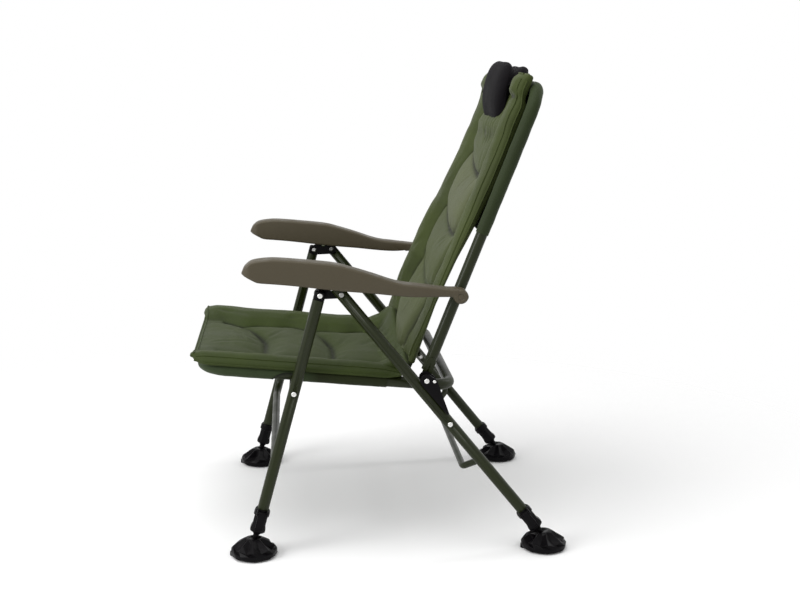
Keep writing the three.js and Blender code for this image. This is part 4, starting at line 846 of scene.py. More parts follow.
# Slings
# Close-woven polyester sheets that carry the pads, hemmed into sleeves round the tubes. The seat's
# sleeves are cut away in an arch where its hooks come through.
def cloth(name, colour, pale, sheen, crease_shade, rough=0.6, pitch=0.0011, panel_colour=None, shine=0.15):
    """Woven cloth: fine threads, uneven dye, small puckers, soft sheen, and painted shade that darkens the
    creases.

    The mesh carries how deep each place lies in a crease, for the painted shade, and how far it takes the
    second colour: the middle's cloth on the pads, and a painted shade on the slings.
    """
    material = bpy.data.materials.new(name)
    material.use_nodes = True
    tree = material.node_tree
    link = tree.links.new
    shader = tree.nodes["Principled BSDF"]
    shader.inputs["Sheen Weight"].default_value = sheen
    shader.inputs["Sheen Roughness"].default_value = 0.45
    shader.inputs["Sheen Tint"].default_value = (*pale, 1)
    shader.inputs["Specular IOR Level"].default_value = shine
    place = add_node(tree, "ShaderNodeTexCoord")
    if panel_colour:
        panel = add_node(tree, "ShaderNodeAttribute", attribute_name="panel")
        mix = add_node(tree, "ShaderNodeMix", {"A": (*colour, 1), "B": (*panel_colour, 1)}, data_type="RGBA")
        link(panel.outputs["Fac"], mix.inputs["Factor"])
        base = mix.outputs["Result"]
    else:
        base = add_node(tree, "ShaderNodeRGB").outputs[0]
        base.default_value = (*colour, 1)
    cloud = mottle(tree, place, 9, 6)
    crease = add_node(tree, "ShaderNodeAttribute", attribute_name="crease").outputs["Fac"]
    depth = remap(tree, cloud, (0.3, 0.7), (0.86, 1.14))
    # The creases are darkened by the crease note: painted shade
    for share in (remap(tree, mottle(tree, place, 700, 2), (0.35, 0.65), (0.88, 1.12)),
                  remap(tree, crease, (0, 1), (1, crease_shade))):
        both = add_node(tree, "ShaderNodeMath", operation="MULTIPLY")
        link(depth, both.inputs[0])
        link(share, both.inputs[1])
        depth = both.outputs[0]
    tint = add_node(tree, "ShaderNodeVectorMath", operation="SCALE")
    link(base, tint.inputs[0])
    link(depth, tint.inputs["Scale"])
    link(tint.outputs["Vector"], shader.inputs["Base Color"])
    link(remap(tree, cloud, (0.3, 0.7), (rough * 0.9, rough * 1.12)), shader.inputs["Roughness"])
    grounds, closeness = [], 2 * math.pi / (20 * pitch)
    for way in ("X", "Y"):
        threads = add_node(
            tree, "ShaderNodeTexWave", {"Scale": closeness, "Distortion": 0.6}, bands_direction=way)
        link(place.outputs["UV"], threads.inputs["Vector"])
        grounds.append((threads.outputs["Fac"], 0.22, 0.00025))
    for size, height in ((55, 0.0009), (150, 0.0004)):
        grounds.append((mottle(tree, place, size, 3, 0.8), 0.55, height))
    relief(tree, shader, grounds)
    return material


def planar_uv(piece, matrix, axes):
    """Lay threads along two ways of a frame, at true size."""
    data = piece.data
    inverse = matrix.inverted()
    layer = data.uv_layers.new(name="threads") if not data.uv_layers else data.uv_layers[0]
    flat = [inverse @ v.co for v in data.vertices]
    for face in data.polygons:
        for corner in face.loop_indices:
            p = flat[data.loops[corner].vertex_index]
            layer.data[corner].uv = (p[axes[0]], p[axes[1]])


def rows_of(items, name, width=3, kind=float):
    """One property of each vertex or edge, as rows of numbers."""
    found = np.empty(len(items) * width, dtype=kind)
    items.foreach_get(name, found)
    return found.reshape(-1, width)


def note(piece, name, values):
    """Write a value on each point of the mesh, for its material to read."""
    notes = piece.data.attributes
    mark = notes.get(name) or notes.new(name, "FLOAT", "POINT")
    mark.data.foreach_set("value", np.array(values, dtype=np.float32))


def crease_share(piece, gain, rounds=5):
    """Note on the mesh how far each place lies in a hollow, from 0 on the crowns to 1 in a crease, for the
    cloth's painted shade.
    """
    data = piece.data
    count = len(data.vertices)
    place, normal = rows_of(data.vertices, "co"), rows_of(data.vertices, "normal")
    a, b = rows_of(data.edges, "vertices", 2, np.int64).T
    reach = np.maximum(np.bincount(a, minlength=count) + np.bincount(b, minlength=count), 1)

    def spread(values):
        total = np.bincount(a, values[b], count) + np.bincount(b, values[a], count)
        return total / reach

    soft = place.copy()
    for _ in range(3):
        soft = np.stack([spread(soft[:, i]) for i in range(3)], 1)
    hollow = ((soft - place) * normal).sum(1)
    for _ in range(rounds):
        hollow = 0.5 * hollow + 0.5 * spread(hollow)
    note(piece, "crease", np.clip(hollow * gain, 0, 1))


# Its second colour is a painted shade, for the rear of the seat's sleeve
sling_cloth = cloth(
    "sling_cloth", (0.0275, 0.0415, 0.0155), (0.5, 0.6, 0.45), 0.08, 0.35,
    panel_colour=(0.0105, 0.0145, 0.002))
sleeve_radius, sleeve_wall, sling_thickness = 0.0148, 0.0019, 0.0018


def cell(i, j):
    """The four corners of a cell in a grid, in their order round it."""
    return (i, j), (i + 1, j), (i + 1, j + 1), (i, j + 1)


def sling(matrix, half, bend, tube_half, edge_start, edge_end, up_way, sag):
    """A sleeve round a loop of tube, and a sheet stretched across it."""
    def wrinkle(place):
        near = noise.noise(place * 38) * 0.0007 + noise.noise(place * 90) * 0.0003
        return near + 0.0002

    path = subdivided(bent_path(loop(half), bend, 14), 0.006)
    sleeve = tube("sleeve", matrix, path, sleeve_radius - 0.0006, sleeve_wall - 0.0006, sling_cloth,
                  count=32, ripple=wrinkle, lip=0.0003)
    mesh = bmesh.new()
    across, lengthwise = 72, 60
    rows = {}
    for face in (0, 1):
        for i in range(across + 1):
            for j in range(lengthwise + 1):
                u, v = 2 * i / across - 1, j / lengthwise
                x = u * tube_half
                y = edge_start + (edge_end - edge_start) * v
                # The sheet's corners follow the bend in the tube
                past = max(0, v * abs(edge_end - edge_start) - (abs(edge_end - edge_start) - bend))
                limit = tube_half - bend + math.sqrt(max(0, bend ** 2 - past ** 2))
                x = max(-limit, min(limit, x))
                dip = sag * (1 - u * u) * math.sin(math.pi * min(1, v * 0.94 + 0.03)) ** 0.6
                ripple = 0.0007 * noise.noise(V((x * 22, y * 14, 3.1)))
                level = -dip + ripple + (face - 0.5) * sling_thickness
                place = V((x, y, seat_axis + level)) if up_way == "z" else V((x, -level, y))
                rows[face, i, j] = mesh.verts.new(matrix @ place)
    for i in range(across):
        for j in range(lengthwise):
            for face in (0, 1):
                mesh.faces.new([rows[(face, *corner)] for corner in cell(i, j)])
    for i in range(across):
        for j in (0, lengthwise):
            mesh.faces.new((rows[0, i, j], rows[0, i + 1, j], rows[1, i + 1, j], rows[1, i, j]))
    for j in range(lengthwise):
        for i in (0, across):
            mesh.faces.new((rows[0, i, j], rows[0, i, j + 1], rows[1, i, j + 1], rows[1, i, j]))
    bmesh.ops.dissolve_degenerate(mesh, dist=0.00001, edges=mesh.edges)
    web = finish_mesh("web", mesh, sling_cloth, 60)
    return sleeve, web


sheet_rear, sheet_front = -0.081, -0.482
sleeve, web = sling(
    seat_frame, [V((seat_half, y, seat_axis)) for y in (sheet_rear, sheet_front)], 0.055, seat_half,
    sheet_rear, sheet_front, "z", 0.004)
arch, arch_radius, arch_reach = hook_pin - V((0, 0.0143, 0.0073)), 0.042, 0.018
carve(sleeve, [
    bar_x(seat_frame, arch, arch_radius, tube_at - arch_reach, tube_at + arch_reach, sling_cloth)
    for tube_at in (seat_half, -seat_half)])
# A dark bound edge follows each arch
binding_cloth = cloth("binding_cloth", (0.006, 0.008, 0.003), (0.5, 0.6, 0.45), 0.05, 0.35)
bindings = []
for side in (1, -1):
    rim = []
    for a in range(38, 143, 4):
        y = (arch_radius + 0.001) * math.cos(math.radians(a))
        z = (arch_radius + 0.001) * math.sin(math.radians(a)) + arch.z
        out = math.sqrt(max(0.004 ** 2, (sleeve_radius + 0.0003) ** 2 - (z - seat_axis) ** 2))
        rim.append(V((side * (seat_half + out), arch.y + y, z)))
    bindings.append(tube("binding", seat_frame, rim, 0.0014, 0, binding_cloth, count=10))
seat_sling_piece = joined("seat_sling_cloth", [sleeve, web] + bindings)
# The sleeve's rear takes a darker colour: painted shade, as the light falls off toward the rear
inverse = seat_frame.inverted()
note(seat_sling_piece, "panel", [
    min(1, max(0, ((inverse @ v.co).y + 0.26) / 0.03)) for v in seat_sling_piece.data.vertices])
planar_uv(seat_sling_piece, seat_frame, (0, 1))
crease_share(seat_sling_piece, 900)
fit(seat_sling_piece, "seat_sling", "seat")

sheet_foot, sheet_head = 0.336, 0.666
sleeve, web = sling(
    back_frame, [V((back_half, 0, z)) for z in (sheet_foot, sheet_head)], 0.058, back_half,
    sheet_foot, sheet_head, "y", 0.003)
back_sling_piece = joined("back_sling_cloth", [sleeve, web])
# The back's sling takes half of that painted shade
note(back_sling_piece, "panel", np.full(len(back_sling_piece.data.vertices), 0.5))
planar_uv(back_sling_piece, back_frame, (0, 2))
crease_share(back_sling_piece, 900)
fit(back_sling_piece, "back_sling", "backrest")

# Seat pad
# A padded polyester cover: a bolster down each side, and a quilted middle of three cells whose
# channels are pinched, so that creases fan out of them. It is piped round its edge.
def shares_line(pairs, soft=0.012):
    """A smoothed curve through pairs of share and value, as a table to read from."""
    at = np.linspace(0, 1, 401)
    raw = np.interp(at, [p[0] for p in pairs], [p[1] for p in pairs])
    width = max(1, int(soft * 400))
    kernel = np.hanning(2 * width + 3)
    padded_line = np.pad(raw, width + 1, mode="edge")
    return np.convolve(padded_line, kernel / kernel.sum(), mode="valid")


def read(line, share):
    """A line's value at a share of its length."""
    return float(np.interp(share, np.linspace(0, 1, 401), line))


def slab(name, matrix, across, lengthwise, walls, locate, finish, flat):
    """A closed pad: grids over its face and back, joined by rows round its rim.

    It gives the piece and each vertex's shares across, along and through.
    """
    mesh = bmesh.new()
    verts, shares = {}, []
    for w in range(walls + 1):
        for i in range(across + 1):
            for j in range(lengthwise + 1):
                if 0 < w < walls and 0 < i < across and 0 < j < lengthwise:
                    continue
                u, v, t = i / across, j / lengthwise, w / walls
                verts[i, j, w] = mesh.verts.new(matrix @ V(locate(u, v, t)))
                shares.append((u, v, t))
    for w in (0, walls):
        for i in range(across):
            for j in range(lengthwise):
                mesh.faces.new([verts[(*corner, w)] for corner in cell(i, j)])
    ring = [(i, 0) for i in range(across)] + [(across, j) for j in range(lengthwise)]
    ring += [(i, lengthwise) for i in range(across, 0, -1)] + [(0, j) for j in range(lengthwise, 0, -1)]
    for w in range(walls):
        for (i, j), (p, q) in zip(ring, ring[1:] + ring[:1]):
            mesh.faces.new((verts[i, j, w], verts[p, q, w], verts[p, q, w + 1], verts[i, j, w + 1]))
    piece = finish_mesh(name, mesh, finish, 180)
    data = piece.data
    shares = np.array(shares)
    layer = data.uv_layers.new(name="threads")
    for corner in data.loops:
        u, v, t = shares[corner.vertex_index]
        out_x = (1 if u == 1 else -1 if u == 0 else 0) * (1 - t) * 0.03
        out_y = (1 if v == 1 else -1 if v == 0 else 0) * (1 - t) * 0.03
        layer.data[corner.index].uv = (u * flat[0] + out_x, v * flat[1] + out_y)
    return piece, shares


def puff(piece, held, cap, pressure=4.0, spare=0.008, frames=20):
    """Fill a cover with cloth simulation: seams are held, the rest swells, and no place moves far."""
    data = piece.data
    before = rows_of(data.vertices, "co")
    group = piece.vertex_groups.new(name="held")
    for index in np.nonzero(held > 0)[0]:
        group.add([int(index)], float(held[index]), "REPLACE")
    change = piece.modifiers.new("stuffing", "CLOTH")
    settings = change.settings
    settings.quality = 5
    settings.mass = 0.25
    settings.tension_stiffness = settings.compression_stiffness = 12
    settings.shear_stiffness = 4
    settings.bending_stiffness = 0.35
    settings.use_pressure = True
    settings.uniform_pressure_force = pressure
    settings.shrink_min = -spare
    settings.vertex_group_mass = "held"
    settings.effector_weights.gravity = 0
    change.collision_settings.use_collision = False
    for step in range(1, frames + 1):
        scene.frame_set(step)
    swollen = piece.evaluated_get(bpy.context.evaluated_depsgraph_get()).data
    move = rows_of(swollen.vertices, "co") - before
    piece.modifiers.remove(change)
    piece.vertex_groups.remove(group)
    scene.frame_set(1)
    # Fine buckles are averaged out, and the seams stay where they are held
    ends = rows_of(data.edges, "vertices", 2, np.int64)
    count = np.bincount(ends.ravel(), minlength=len(move))[:, None]
    for _ in range(5):
        total = np.zeros_like(move)
        np.add.at(total, ends[:, 0], move[ends[:, 1]])
        np.add.at(total, ends[:, 1], move[ends[:, 0]])
        move = np.where(held[:, None] >= 1, move, 0.4 * move + 0.6 * total / count)
    reach = np.linalg.norm(move, axis=1)
    move *= (cap * np.tanh(reach / cap) / np.maximum(reach, 1e-9))[:, None]
    data.vertices.foreach_set("co", (before + move).ravel())
    data.update()


def refined(piece):
    """One smooth subdivision, applied."""
    change = piece.modifiers.new("smooth", "SUBSURF")
    change.levels = change.render_levels = 1
    pick(piece)
    bpy.ops.object.modifier_apply(modifier=change.name)


def mark_panel(piece, inside):
    """Note on the mesh which places are cut from the middle's cloth."""
    note(piece, "panel", [inside(v.co) for v in piece.data.vertices])


def held_places(shares, stitched):
    """How firmly each point of a cover is held: its underside and seams fast, its rim loosely."""
    held = np.zeros(len(shares))
    for n, (u, v, t) in enumerate(shares):
        if t == 0 or (t == 1 and stitched(u, v)):
            held[n] = 1
        elif t < 1 and (u in (0, 1) or v in (0, 1)):
            held[n] = 0.6
    return held


def edge_cords(piece, matrix, shares, rim_level, side_stop, finish):
    """Covered cords sewn round a cover's crown and its rim: up both sides, then along the far end."""
    levels, cord_radius = (1, rim_level), 0.0019
    rows = [[n for n, (u, v, t) in enumerate(shares) if u == side and t == level and 0.01 < v < side_stop]
            for side in (0, 1) for level in levels]
    rows += [[n for n, (u, v, t) in enumerate(shares) if v == 1 and t == level and 0.02 < u < 0.98]
             for level in levels]
    inverse = matrix.inverted()
    cords = []
    for row in rows:
        points = [inverse @ piece.data.vertices[n].co for n in row]
        cord = tube("piping", matrix, points[::2] + [points[-1]], cord_radius, 0, finish,
                    count=12, lip=cord_radius * 0.4)
        # The cord carries the cover's two notes, left clear
        for name in ("crease", "panel"):
            cord.data.attributes.new(name, "FLOAT", "POINT")
        cord.data.uv_layers.new(name="threads")
        cords.append(cord)
    return cords


def step_up(value, low, high):
    """A soft step from 0 to 1 between two values."""
    share = min(1.0, max(0.0, (value - low) / (high - low)))
    return share * share * (3 - 2 * share)


seat_cloth = cloth(
    "seat_cloth", (0.0262, 0.0385, 0.0064), (0.58, 0.64, 0.36), 0.06, 0.2,
    panel_colour=(0.028, 0.0385, 0.0105))
seat_pad_half, seat_pad_front, seat_pad_rear, seat_crest = 0.268, -0.503, -0.05, 0.037
seat_top_line = shares_line([
    (0, 0.62), (0.04, 0.88), (0.09, 0.98), (0.16, 1), (0.22, 0.8), (0.25, 0.6), (0.28, 0.42),
    (0.31, 0.47), (0.38, 0.55), (0.5, 0.57), (0.7, 0.55), (0.8, 0.48), (0.855, 0.42), (0.89, 0.68),
    (0.93, 0.87), (0.965, 0.91), (0.985, 0.87), (1, 0.74)])
seat_end_line = shares_line([(0, 0.72), (0.08, 0.95), (0.2, 1), (0.8, 1), (0.955, 1), (1, 0.88)])
seat_bottom_low, seat_bottom_high = 0.0016, 0.0154
near_seam, far_seam = 0.190, -0.116
# Each crease: where it starts, its heading in degrees from +X, length, half width, depth
seat_creases = [
    ((0.117, -0.468), 118, 0.13, 0.006, 0.0018), ((0.06, -0.40), 205, 0.10, 0.007, 0.0022),
    ((0.02, -0.362), 190, 0.12, 0.008, 0.0028), ((0.0, -0.345), 150, 0.09, 0.006, 0.0020),
    ((-0.04, -0.43), 172, 0.07, 0.006, 0.0016), ((0.03, -0.20), 185, 0.11, 0.008, 0.0026),
    ((0.0, -0.215), 205, 0.10, 0.006, 0.0020), ((0.02, -0.18), 150, 0.08, 0.006, 0.0018),
    ((0.165, -0.352), 40, 0.03, 0.006, 0.0020), ((0.14, -0.196), 35, 0.05, 0.007, 0.0022),
    ((0.15, -0.34), -40, 0.03, 0.005, 0.0016), ((0.05, -0.12), 160, 0.16, 0.008, 0.0018),
    ((0.10, -0.28), 200, 0.10, 0.008, 0.0010), ((0.12, -0.43), 190, 0.12, 0.008, 0.0012),
    ((-0.19, -0.47), 60, 0.09, 0.008, 0.0030), ((-0.21, -0.16), 100, 0.10, 0.009, 0.0016),
    ((-0.17, -0.30), 85, 0.08, 0.009, 0.0014), ((0.23, -0.25), 86, 0.10, 0.005, 0.0012),
    ((0.225, -0.42), 92, 0.09, 0.005, 0.0010),
]


def crease_depth(x, y, creases):
    """How deep the listed creases are at a place: each is narrow, and fades along its length."""
    deep = 0
    for (sx, sy), heading, length, half, depth in creases:
        c, s = math.cos(math.radians(heading)), math.sin(math.radians(heading))
        dx, dy = x - sx, y - sy
        run, aside = dx * c + dy * s, -dx * s + dy * c
        if -0.01 < run < length:
            aside += 0.004 * math.sin(run * 38 + sx * 90)
            fade = min(1, (run + 0.01) / 0.02) * (1 - run / length)
            deep += depth * fade * math.exp(-(aside / half) ** 2)
            deep -= depth * 0.4 * fade * math.exp(-((abs(aside) - 1.9 * half) / half) ** 2)
    return deep


def wavy_far_seam(y):
    """Where the far bolster's seam runs."""
    return far_seam + 0.010 * math.sin((y + 0.06) * 33) + 0.004 * math.sin(y * 75 + 1)


def pinch_lines(x, y):
    """How far a place is from each pinched channel, and how deep the channel is there."""
    found = []
    for level, bow, depth in ((-0.350, 2.6, 0.0125), (-0.194, 2.2, 0.0115)):
        reach = max(0.0, 0.06 - x)
        line = level - bow * reach * reach
        share = step_up(x, -0.11, 0.03) * (1 - step_up(x, 0.168, 0.19))
        between = wavy_far_seam(y) < x < near_seam
        found.append((y - line, depth * (0.25 + 0.75 * share) if between else 0))
    return found


def seat_surface(u, v):
    """The height of the pad's top over its sling."""
    x = (2 * u - 1) * seat_pad_half
    y = seat_pad_rear + (seat_pad_front - seat_pad_rear) * v
    seam = wavy_far_seam(y)
    # The bolster's profile follows its wavy seam
    shift = (seam - far_seam) * math.exp(-((x - far_seam) / 0.09) ** 2)
    share = min(1, max(0, ((x - shift) / seat_pad_half + 1) / 2))
    height = seat_crest * read(seat_top_line, share) - 0.0015
    for apart, depth in pinch_lines(x, y):
        narrow = depth * 0.75 * math.exp(-(apart / 0.0065) ** 2)
        # The cell ahead of a channel rolls down to it, and the one behind rises steeply
        broad = depth * 0.8 * math.exp(-(apart / (0.034 if apart < 0 else 0.016)) ** 2)
        height -= narrow + broad
    for line in (seam, near_seam):
        height -= 0.005 * math.exp(-((x - line) / 0.006) ** 2)
    height -= crease_depth(x, y, seat_creases)
    height += 0.0010 * noise.noise(V((x * 12, y * 12, 0.7))) + 0.0003 * noise.noise(V((x * 34, y * 34, 2)))
    # Short puckers run off each seam
    for line, phase in ((seam, 1.3), (near_seam, 4.1)):
        pull = math.exp(-abs(x - line) / 0.018)
        height -= 0.0013 * pull * max(0, noise.noise(V((phase, y * 70, x * 9))) + 0.1)
    return max(height * read(seat_end_line, v), seat_bottom(u, v) + 0.0015)


def seat_bottom(u, v):
    """The height of the pad's underside, which climbs over the tube's sleeve."""
    out = abs(2 * u - 1)
    side = min(1, max(0, (out - 0.866) / 0.09))
    end = min(1, max(0, (v - 0.874) / 0.04))
    corner = min(1, max(0, (out - 0.76) / 0.12)) * min(1, max(0, (v - 0.8) / 0.06))
    share = max(side, end, corner)
    return seat_bottom_low + (seat_bottom_high - seat_bottom_low) * share


def seat_place(u, v, t):
    top, bottom = seat_surface(u, v), seat_bottom(u, v)
    # The front corners are rounded in plan
    side_start, front_start = 0.92, 0.955
    out = max(0, (abs(2 * u - 1) - side_start) / (1 - side_start))
    ahead = max(0, (v - front_start) / (1 - front_start))
    aside = min(abs(2 * u - 1), side_start) + (1 - side_start) * out * math.sqrt(1 - ahead ** 2 / 2)
    along = min(v, front_start) + (1 - front_start) * ahead * math.sqrt(1 - out ** 2 / 2)
    x = math.copysign(aside, u - 0.5) * seat_pad_half
    y = seat_pad_rear + (seat_pad_front - seat_pad_rear) * along
    height = bottom + (top - bottom) * t
    # The near bolster's end stands out ahead of the middle
    y += (0.003 - 0.005 * step_up(u, 0.86, 0.92) - 0.004 * step_up(0.2 - u, 0, 0.06)) * step_up(v, 0.88, 0.98)
    if 0 < t < 1:
        # The sides roll over the sleeve and hang a little beside it
        if u in (0, 1):
            corner = 1 - 0.55 * step_up(v, 0.93, 1)
            x += math.copysign(0.018 * math.sin(math.pi * t ** 0.6), x) * corner
            height -= 0.0105 * math.exp(-((t - 0.25) / 0.2) ** 2) * step_up(v, 0.01, 0.08) * corner
        if v in (0, 1):
            corner = 1 - 0.55 * step_up(abs(2 * u - 1), 0.94, 1)
            y += 0.007 * math.sin(math.pi * t) ** 0.7 * (0.6 if v == 0 else -0.9) * corner
    return x, y, seat_axis + height


def seat_stitched(u, v):
    """Whether a place on the top is sewn down."""
    x, y = (2 * u - 1) * seat_pad_half, seat_pad_rear + (seat_pad_front - seat_pad_rear) * v
    seam_near = min(abs(x - wavy_far_seam(y)), abs(x - near_seam))
    pinch_near = min([abs(apart) for apart, depth in pinch_lines(x, y) if depth > 0.004] or [1])
    return seam_near < 0.0032 or pinch_near < 0.004


seat_pad, shares = slab("seat_pad_cover", seat_frame, 98, 82, 5, seat_place, seat_cloth, (0.536, 0.453))
puff(seat_pad, held_places(shares, seat_stitched), 0.0065)
cords = edge_cords(seat_pad, seat_frame, shares, 0.4, 1.01, seat_cloth)
refined(seat_pad)
crease_share(seat_pad, 1500, 6)


def in_seat_middle(place):
    """How much of a place is cut from the middle's cloth."""
    p = seat_frame.inverted() @ place
    return step_up(p.x, wavy_far_seam(p.y) - 0.003, wavy_far_seam(p.y) + 0.003) * (
        1 - step_up(p.x, near_seam - 0.003, near_seam + 0.003)) * step_up(p.z - seat_axis, 0.004, 0.008)


mark_panel(seat_pad, in_seat_middle)

# The cover's rear turns up against the back, higher on the far side, and closes the corner there
tail_rise = shares_line(
    [(0, 0.062), (0.06, 0.070), (0.26, 0.088), (0.5, 0.062), (0.75, 0.050), (1, 0.044)], 0.03)
tail_half = 0.252


def tail_place(u, v, t):
    x = (2 * u - 1) * tail_half
    top = read(tail_rise, u)
    lift = min(1, max(0, (abs(2 * u - 1) - 0.86) / 0.14))
    root = seat_surface(min(0.97, max(0.03, u)), 0.09)
    ahead = 0.005 * (1 - step_up(u, 0.3, 0.9))
    face = ((-0.110, root - 0.006), (-0.084 - ahead, root + 0.003), (-0.063 - ahead, root + 0.014),
            (-0.051 - ahead, (root + top) / 2 + 0.004), (-0.040 - ahead, top))
    back = ((-0.108, 0.008), (-0.080, 0.008), (-0.054, 0.009), (-0.033, 0.020), (-0.024 - ahead, top - 0.005))
    place = min(3, int(v * 4))
    part = v * 4 - place
    knots = []
    for line in (back, face):
        four = [V((*line[min(4, max(0, k))], 0)) for k in range(place - 1, place + 3)]
        knots.append(curve_point(*four, part))
    p = knots[0].lerp(knots[1], t)
    ruck = 0.0022 * noise.noise(V((x * 26, v * 3, 6))) * math.sin(math.pi * v) * t
    if 0 < t < 1 and u in (0, 1):
        x += math.copysign(0.005 * math.sin(math.pi * t), x)
    crown = 0.004 * math.sin(math.pi * v) * (1 - lift) * t
    return x, p.x - crown * 0.7 - ruck, seat_axis + p.y + crown * 0.7 + ruck


tail, _ = slab("tail", seat_frame, 80, 16, 4, tail_place, seat_cloth, (2 * tail_half, 0.12))
refined(tail)
crease_share(tail, 1500, 6)
# Its top edge and its foot lie in shade
for vert, shade in zip(tail.data.vertices, tail.data.attributes["crease"].data):
    y = (seat_frame.inverted() @ vert.co).y
    shade.value = max(
        shade.value, 0.8 * step_up(y, -0.040, -0.035), 0.6 * step_up(0.0035 - abs(y + 0.103), 0, 0.003))
mark_panel(tail, lambda place: 0.35 * step_up(place.x, -0.13, -0.12) * (1 - step_up(place.x, 0.17, 0.18)))
seat_pad = joined("seat_pad_cover", [seat_pad, tail] + cords)
fit(seat_pad, "seat_pad", "seat")
pad_up = seat_frame.to_3x3() @ V((0, 0, 1))
pad_foot = seat_frame @ V((0, -0.28, seat_axis + seat_bottom_low))
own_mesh(seat_pad)

# Back pad
# The same cover, hung on the back's loop: two bolsters round four overlapping panels whose lower
# ends are pinched into round pockets, with folded tops to the bolsters.
# Its colours are lighter than the seat's for the same cloth: painted sheen of the light that grazes the
# back's front
back_cloth = cloth(
    "back_cloth", (0.035, 0.047, 0.0105), (0.60, 0.66, 0.40), 0.08, 0.2,
    panel_colour=(0.067, 0.077, 0.036))
back_pad_half, back_foot, back_head, back_depth = 0.248, 0.012, 0.684, 0.060
# The hem at the bolsters' tops: its height, and how far out of the middle it starts
hem_height, hem_start = 0.634, 0.145
right_line = shares_line([
    (0, 0.78), (0.05, 0.87), (0.16, 1), (0.35, 0.95), (0.52, 0.73), (0.674, 0.58), (0.865, 0.5),
    (0.91, 0.55), (0.935, 0.72), (0.98, 0.75), (1, 0.6)], 0.02)
left_line = shares_line([
    (0, 0.62), (0.05, 0.65), (0.3, 0.66), (0.5, 0.65), (0.7, 0.66), (0.86, 0.68), (0.91, 0.62),
    (0.935, 0.82), (0.98, 0.84), (1, 0.65)], 0.012)
seam_line = shares_line([
    (0, 0.86), (0.05, 0.84), (0.12, 0.72), (0.2, 0.62), (0.305, 0.58), (0.476, 0.52), (0.644, 0.45),
    (0.73, 0.33), (0.8, 0.31), (0.825, 0.45), (1, 0.45)], 0.02)
rear_line = shares_line([
    (0, 0.417), (0.208, 0.5), (0.369, 0.4), (0.455, 0.283), (0.64, 0.075), (0.804, 0.1),
    (0.918, 0.08), (0.942, 0.15), (0.962, 0.258), (1, 0.28)], 0.006)
side_line = shares_line([(0, 0), (0.893, 0), (0.925, 0.258), (1, 0.28)], 0.004)
across_line = shares_line([
    (0, 0), (0.56, 0), (0.62, 0.35), (0.7, 0.85), (0.8, 1), (0.93, 0.97), (1, 0.7)], 0.02)
pocket_ends = ((0.443, 0.0130), (0.297, 0.0105), (0.160, 0.0095), (0.006, 0.006))


def back_seams(along):
    """Where the middle meets each bolster: the far edge is scalloped between the pockets."""
    scallop = abs(math.sin(math.pi * (along - 0.052) / 0.146)) if along < 0.53 else 0.8
    return -0.124 - 0.020 * scallop, 0.148 + 0.006 * scallop


def pocket_line(x, end):
    """A pocket's lower end is a round U, low at the near side and drawn up at the far side."""
    far_share = min(1, max(0, (0.075 - x) / 0.20))
    near_share = min(1, max(0, (x - 0.09) / 0.06))
    return end + 0.052 * far_share ** 1.6 + 0.02 * near_share ** 2


back_creases = [
    # Pleats that fan out below the head pillow
    ((0.07, 0.520), 118, 0.13, 0.006, 0.0026), ((0.05, 0.522), 128, 0.14, 0.006, 0.0028),
    ((0.03, 0.528), 138, 0.13, 0.006, 0.0024), ((0.01, 0.535), 148, 0.12, 0.006, 0.0022),
    ((0.09, 0.524), 104, 0.12, 0.006, 0.0024), ((0.105, 0.53), 92, 0.10, 0.005, 0.0020),
    ((0.10, 0.470), 120, 0.05, 0.005, 0.0018), ((0.04, 0.45), 150, 0.07, 0.006, 0.0018),
    ((0.02, 0.425), 215, 0.08, 0.006, 0.0018), ((0.09, 0.43), 260, 0.05, 0.005, 0.0016),
    ((0.03, 0.30), 160, 0.09, 0.006, 0.0018), ((0.05, 0.28), 230, 0.07, 0.006, 0.0016),
    ((0.05, 0.162), 150, 0.08, 0.006, 0.0018), ((0.05, 0.145), 225, 0.07, 0.006, 0.0016),
    ((0.10, 0.14), 300, 0.06, 0.006, 0.0014), ((0.02, 0.07), 80, 0.07, 0.007, 0.0014),
    # Drag lines down the bolsters
    ((-0.20, 0.60), 262, 0.16, 0.007, 0.0020), ((-0.17, 0.46), 250, 0.10, 0.007, 0.0018),
    ((-0.21, 0.34), 275, 0.15, 0.008, 0.0020), ((-0.17, 0.24), 240, 0.08, 0.007, 0.0018),
    ((-0.19, 0.14), 280, 0.10, 0.008, 0.0018), ((-0.16, 0.06), 120, 0.06, 0.006, 0.0018),
    ((0.19, 0.60), 268, 0.17, 0.005, 0.0014), ((0.205, 0.42), 272, 0.18, 0.005, 0.0012),
    ((0.185, 0.22), 266, 0.15, 0.005, 0.0014), ((0.20, 0.635), 200, 0.05, 0.005, 0.0030),
    ((0.235, 0.632), 180, 0.09, 0.005, 0.0034), ((-0.235, 0.632), 0, 0.09, 0.006, 0.0034),
    ((0.19, 0.655), 80, 0.03, 0.005, 0.0018), ((0.225, 0.66), 100, 0.03, 0.005, 0.0016),
]


def back_rear(u, v):
    """The pad's rear, clear of the sling in the middle and of the sleeve at the sides."""
    out = abs(2 * u - 1)
    side = min(1, max(0, (out - 0.8) / 0.05)) * read(side_line, v)
    return back_depth * max(read(rear_line, v), side)


def back_along(u, v):
    """The height of a place up the back, with a dip between the bolsters' tops."""
    out = abs(2 * u - 1)
    dip = 0.012 * step_up(0.66 - out, 0, 0.1)
    return back_foot + (back_head - dip - back_foot) * v


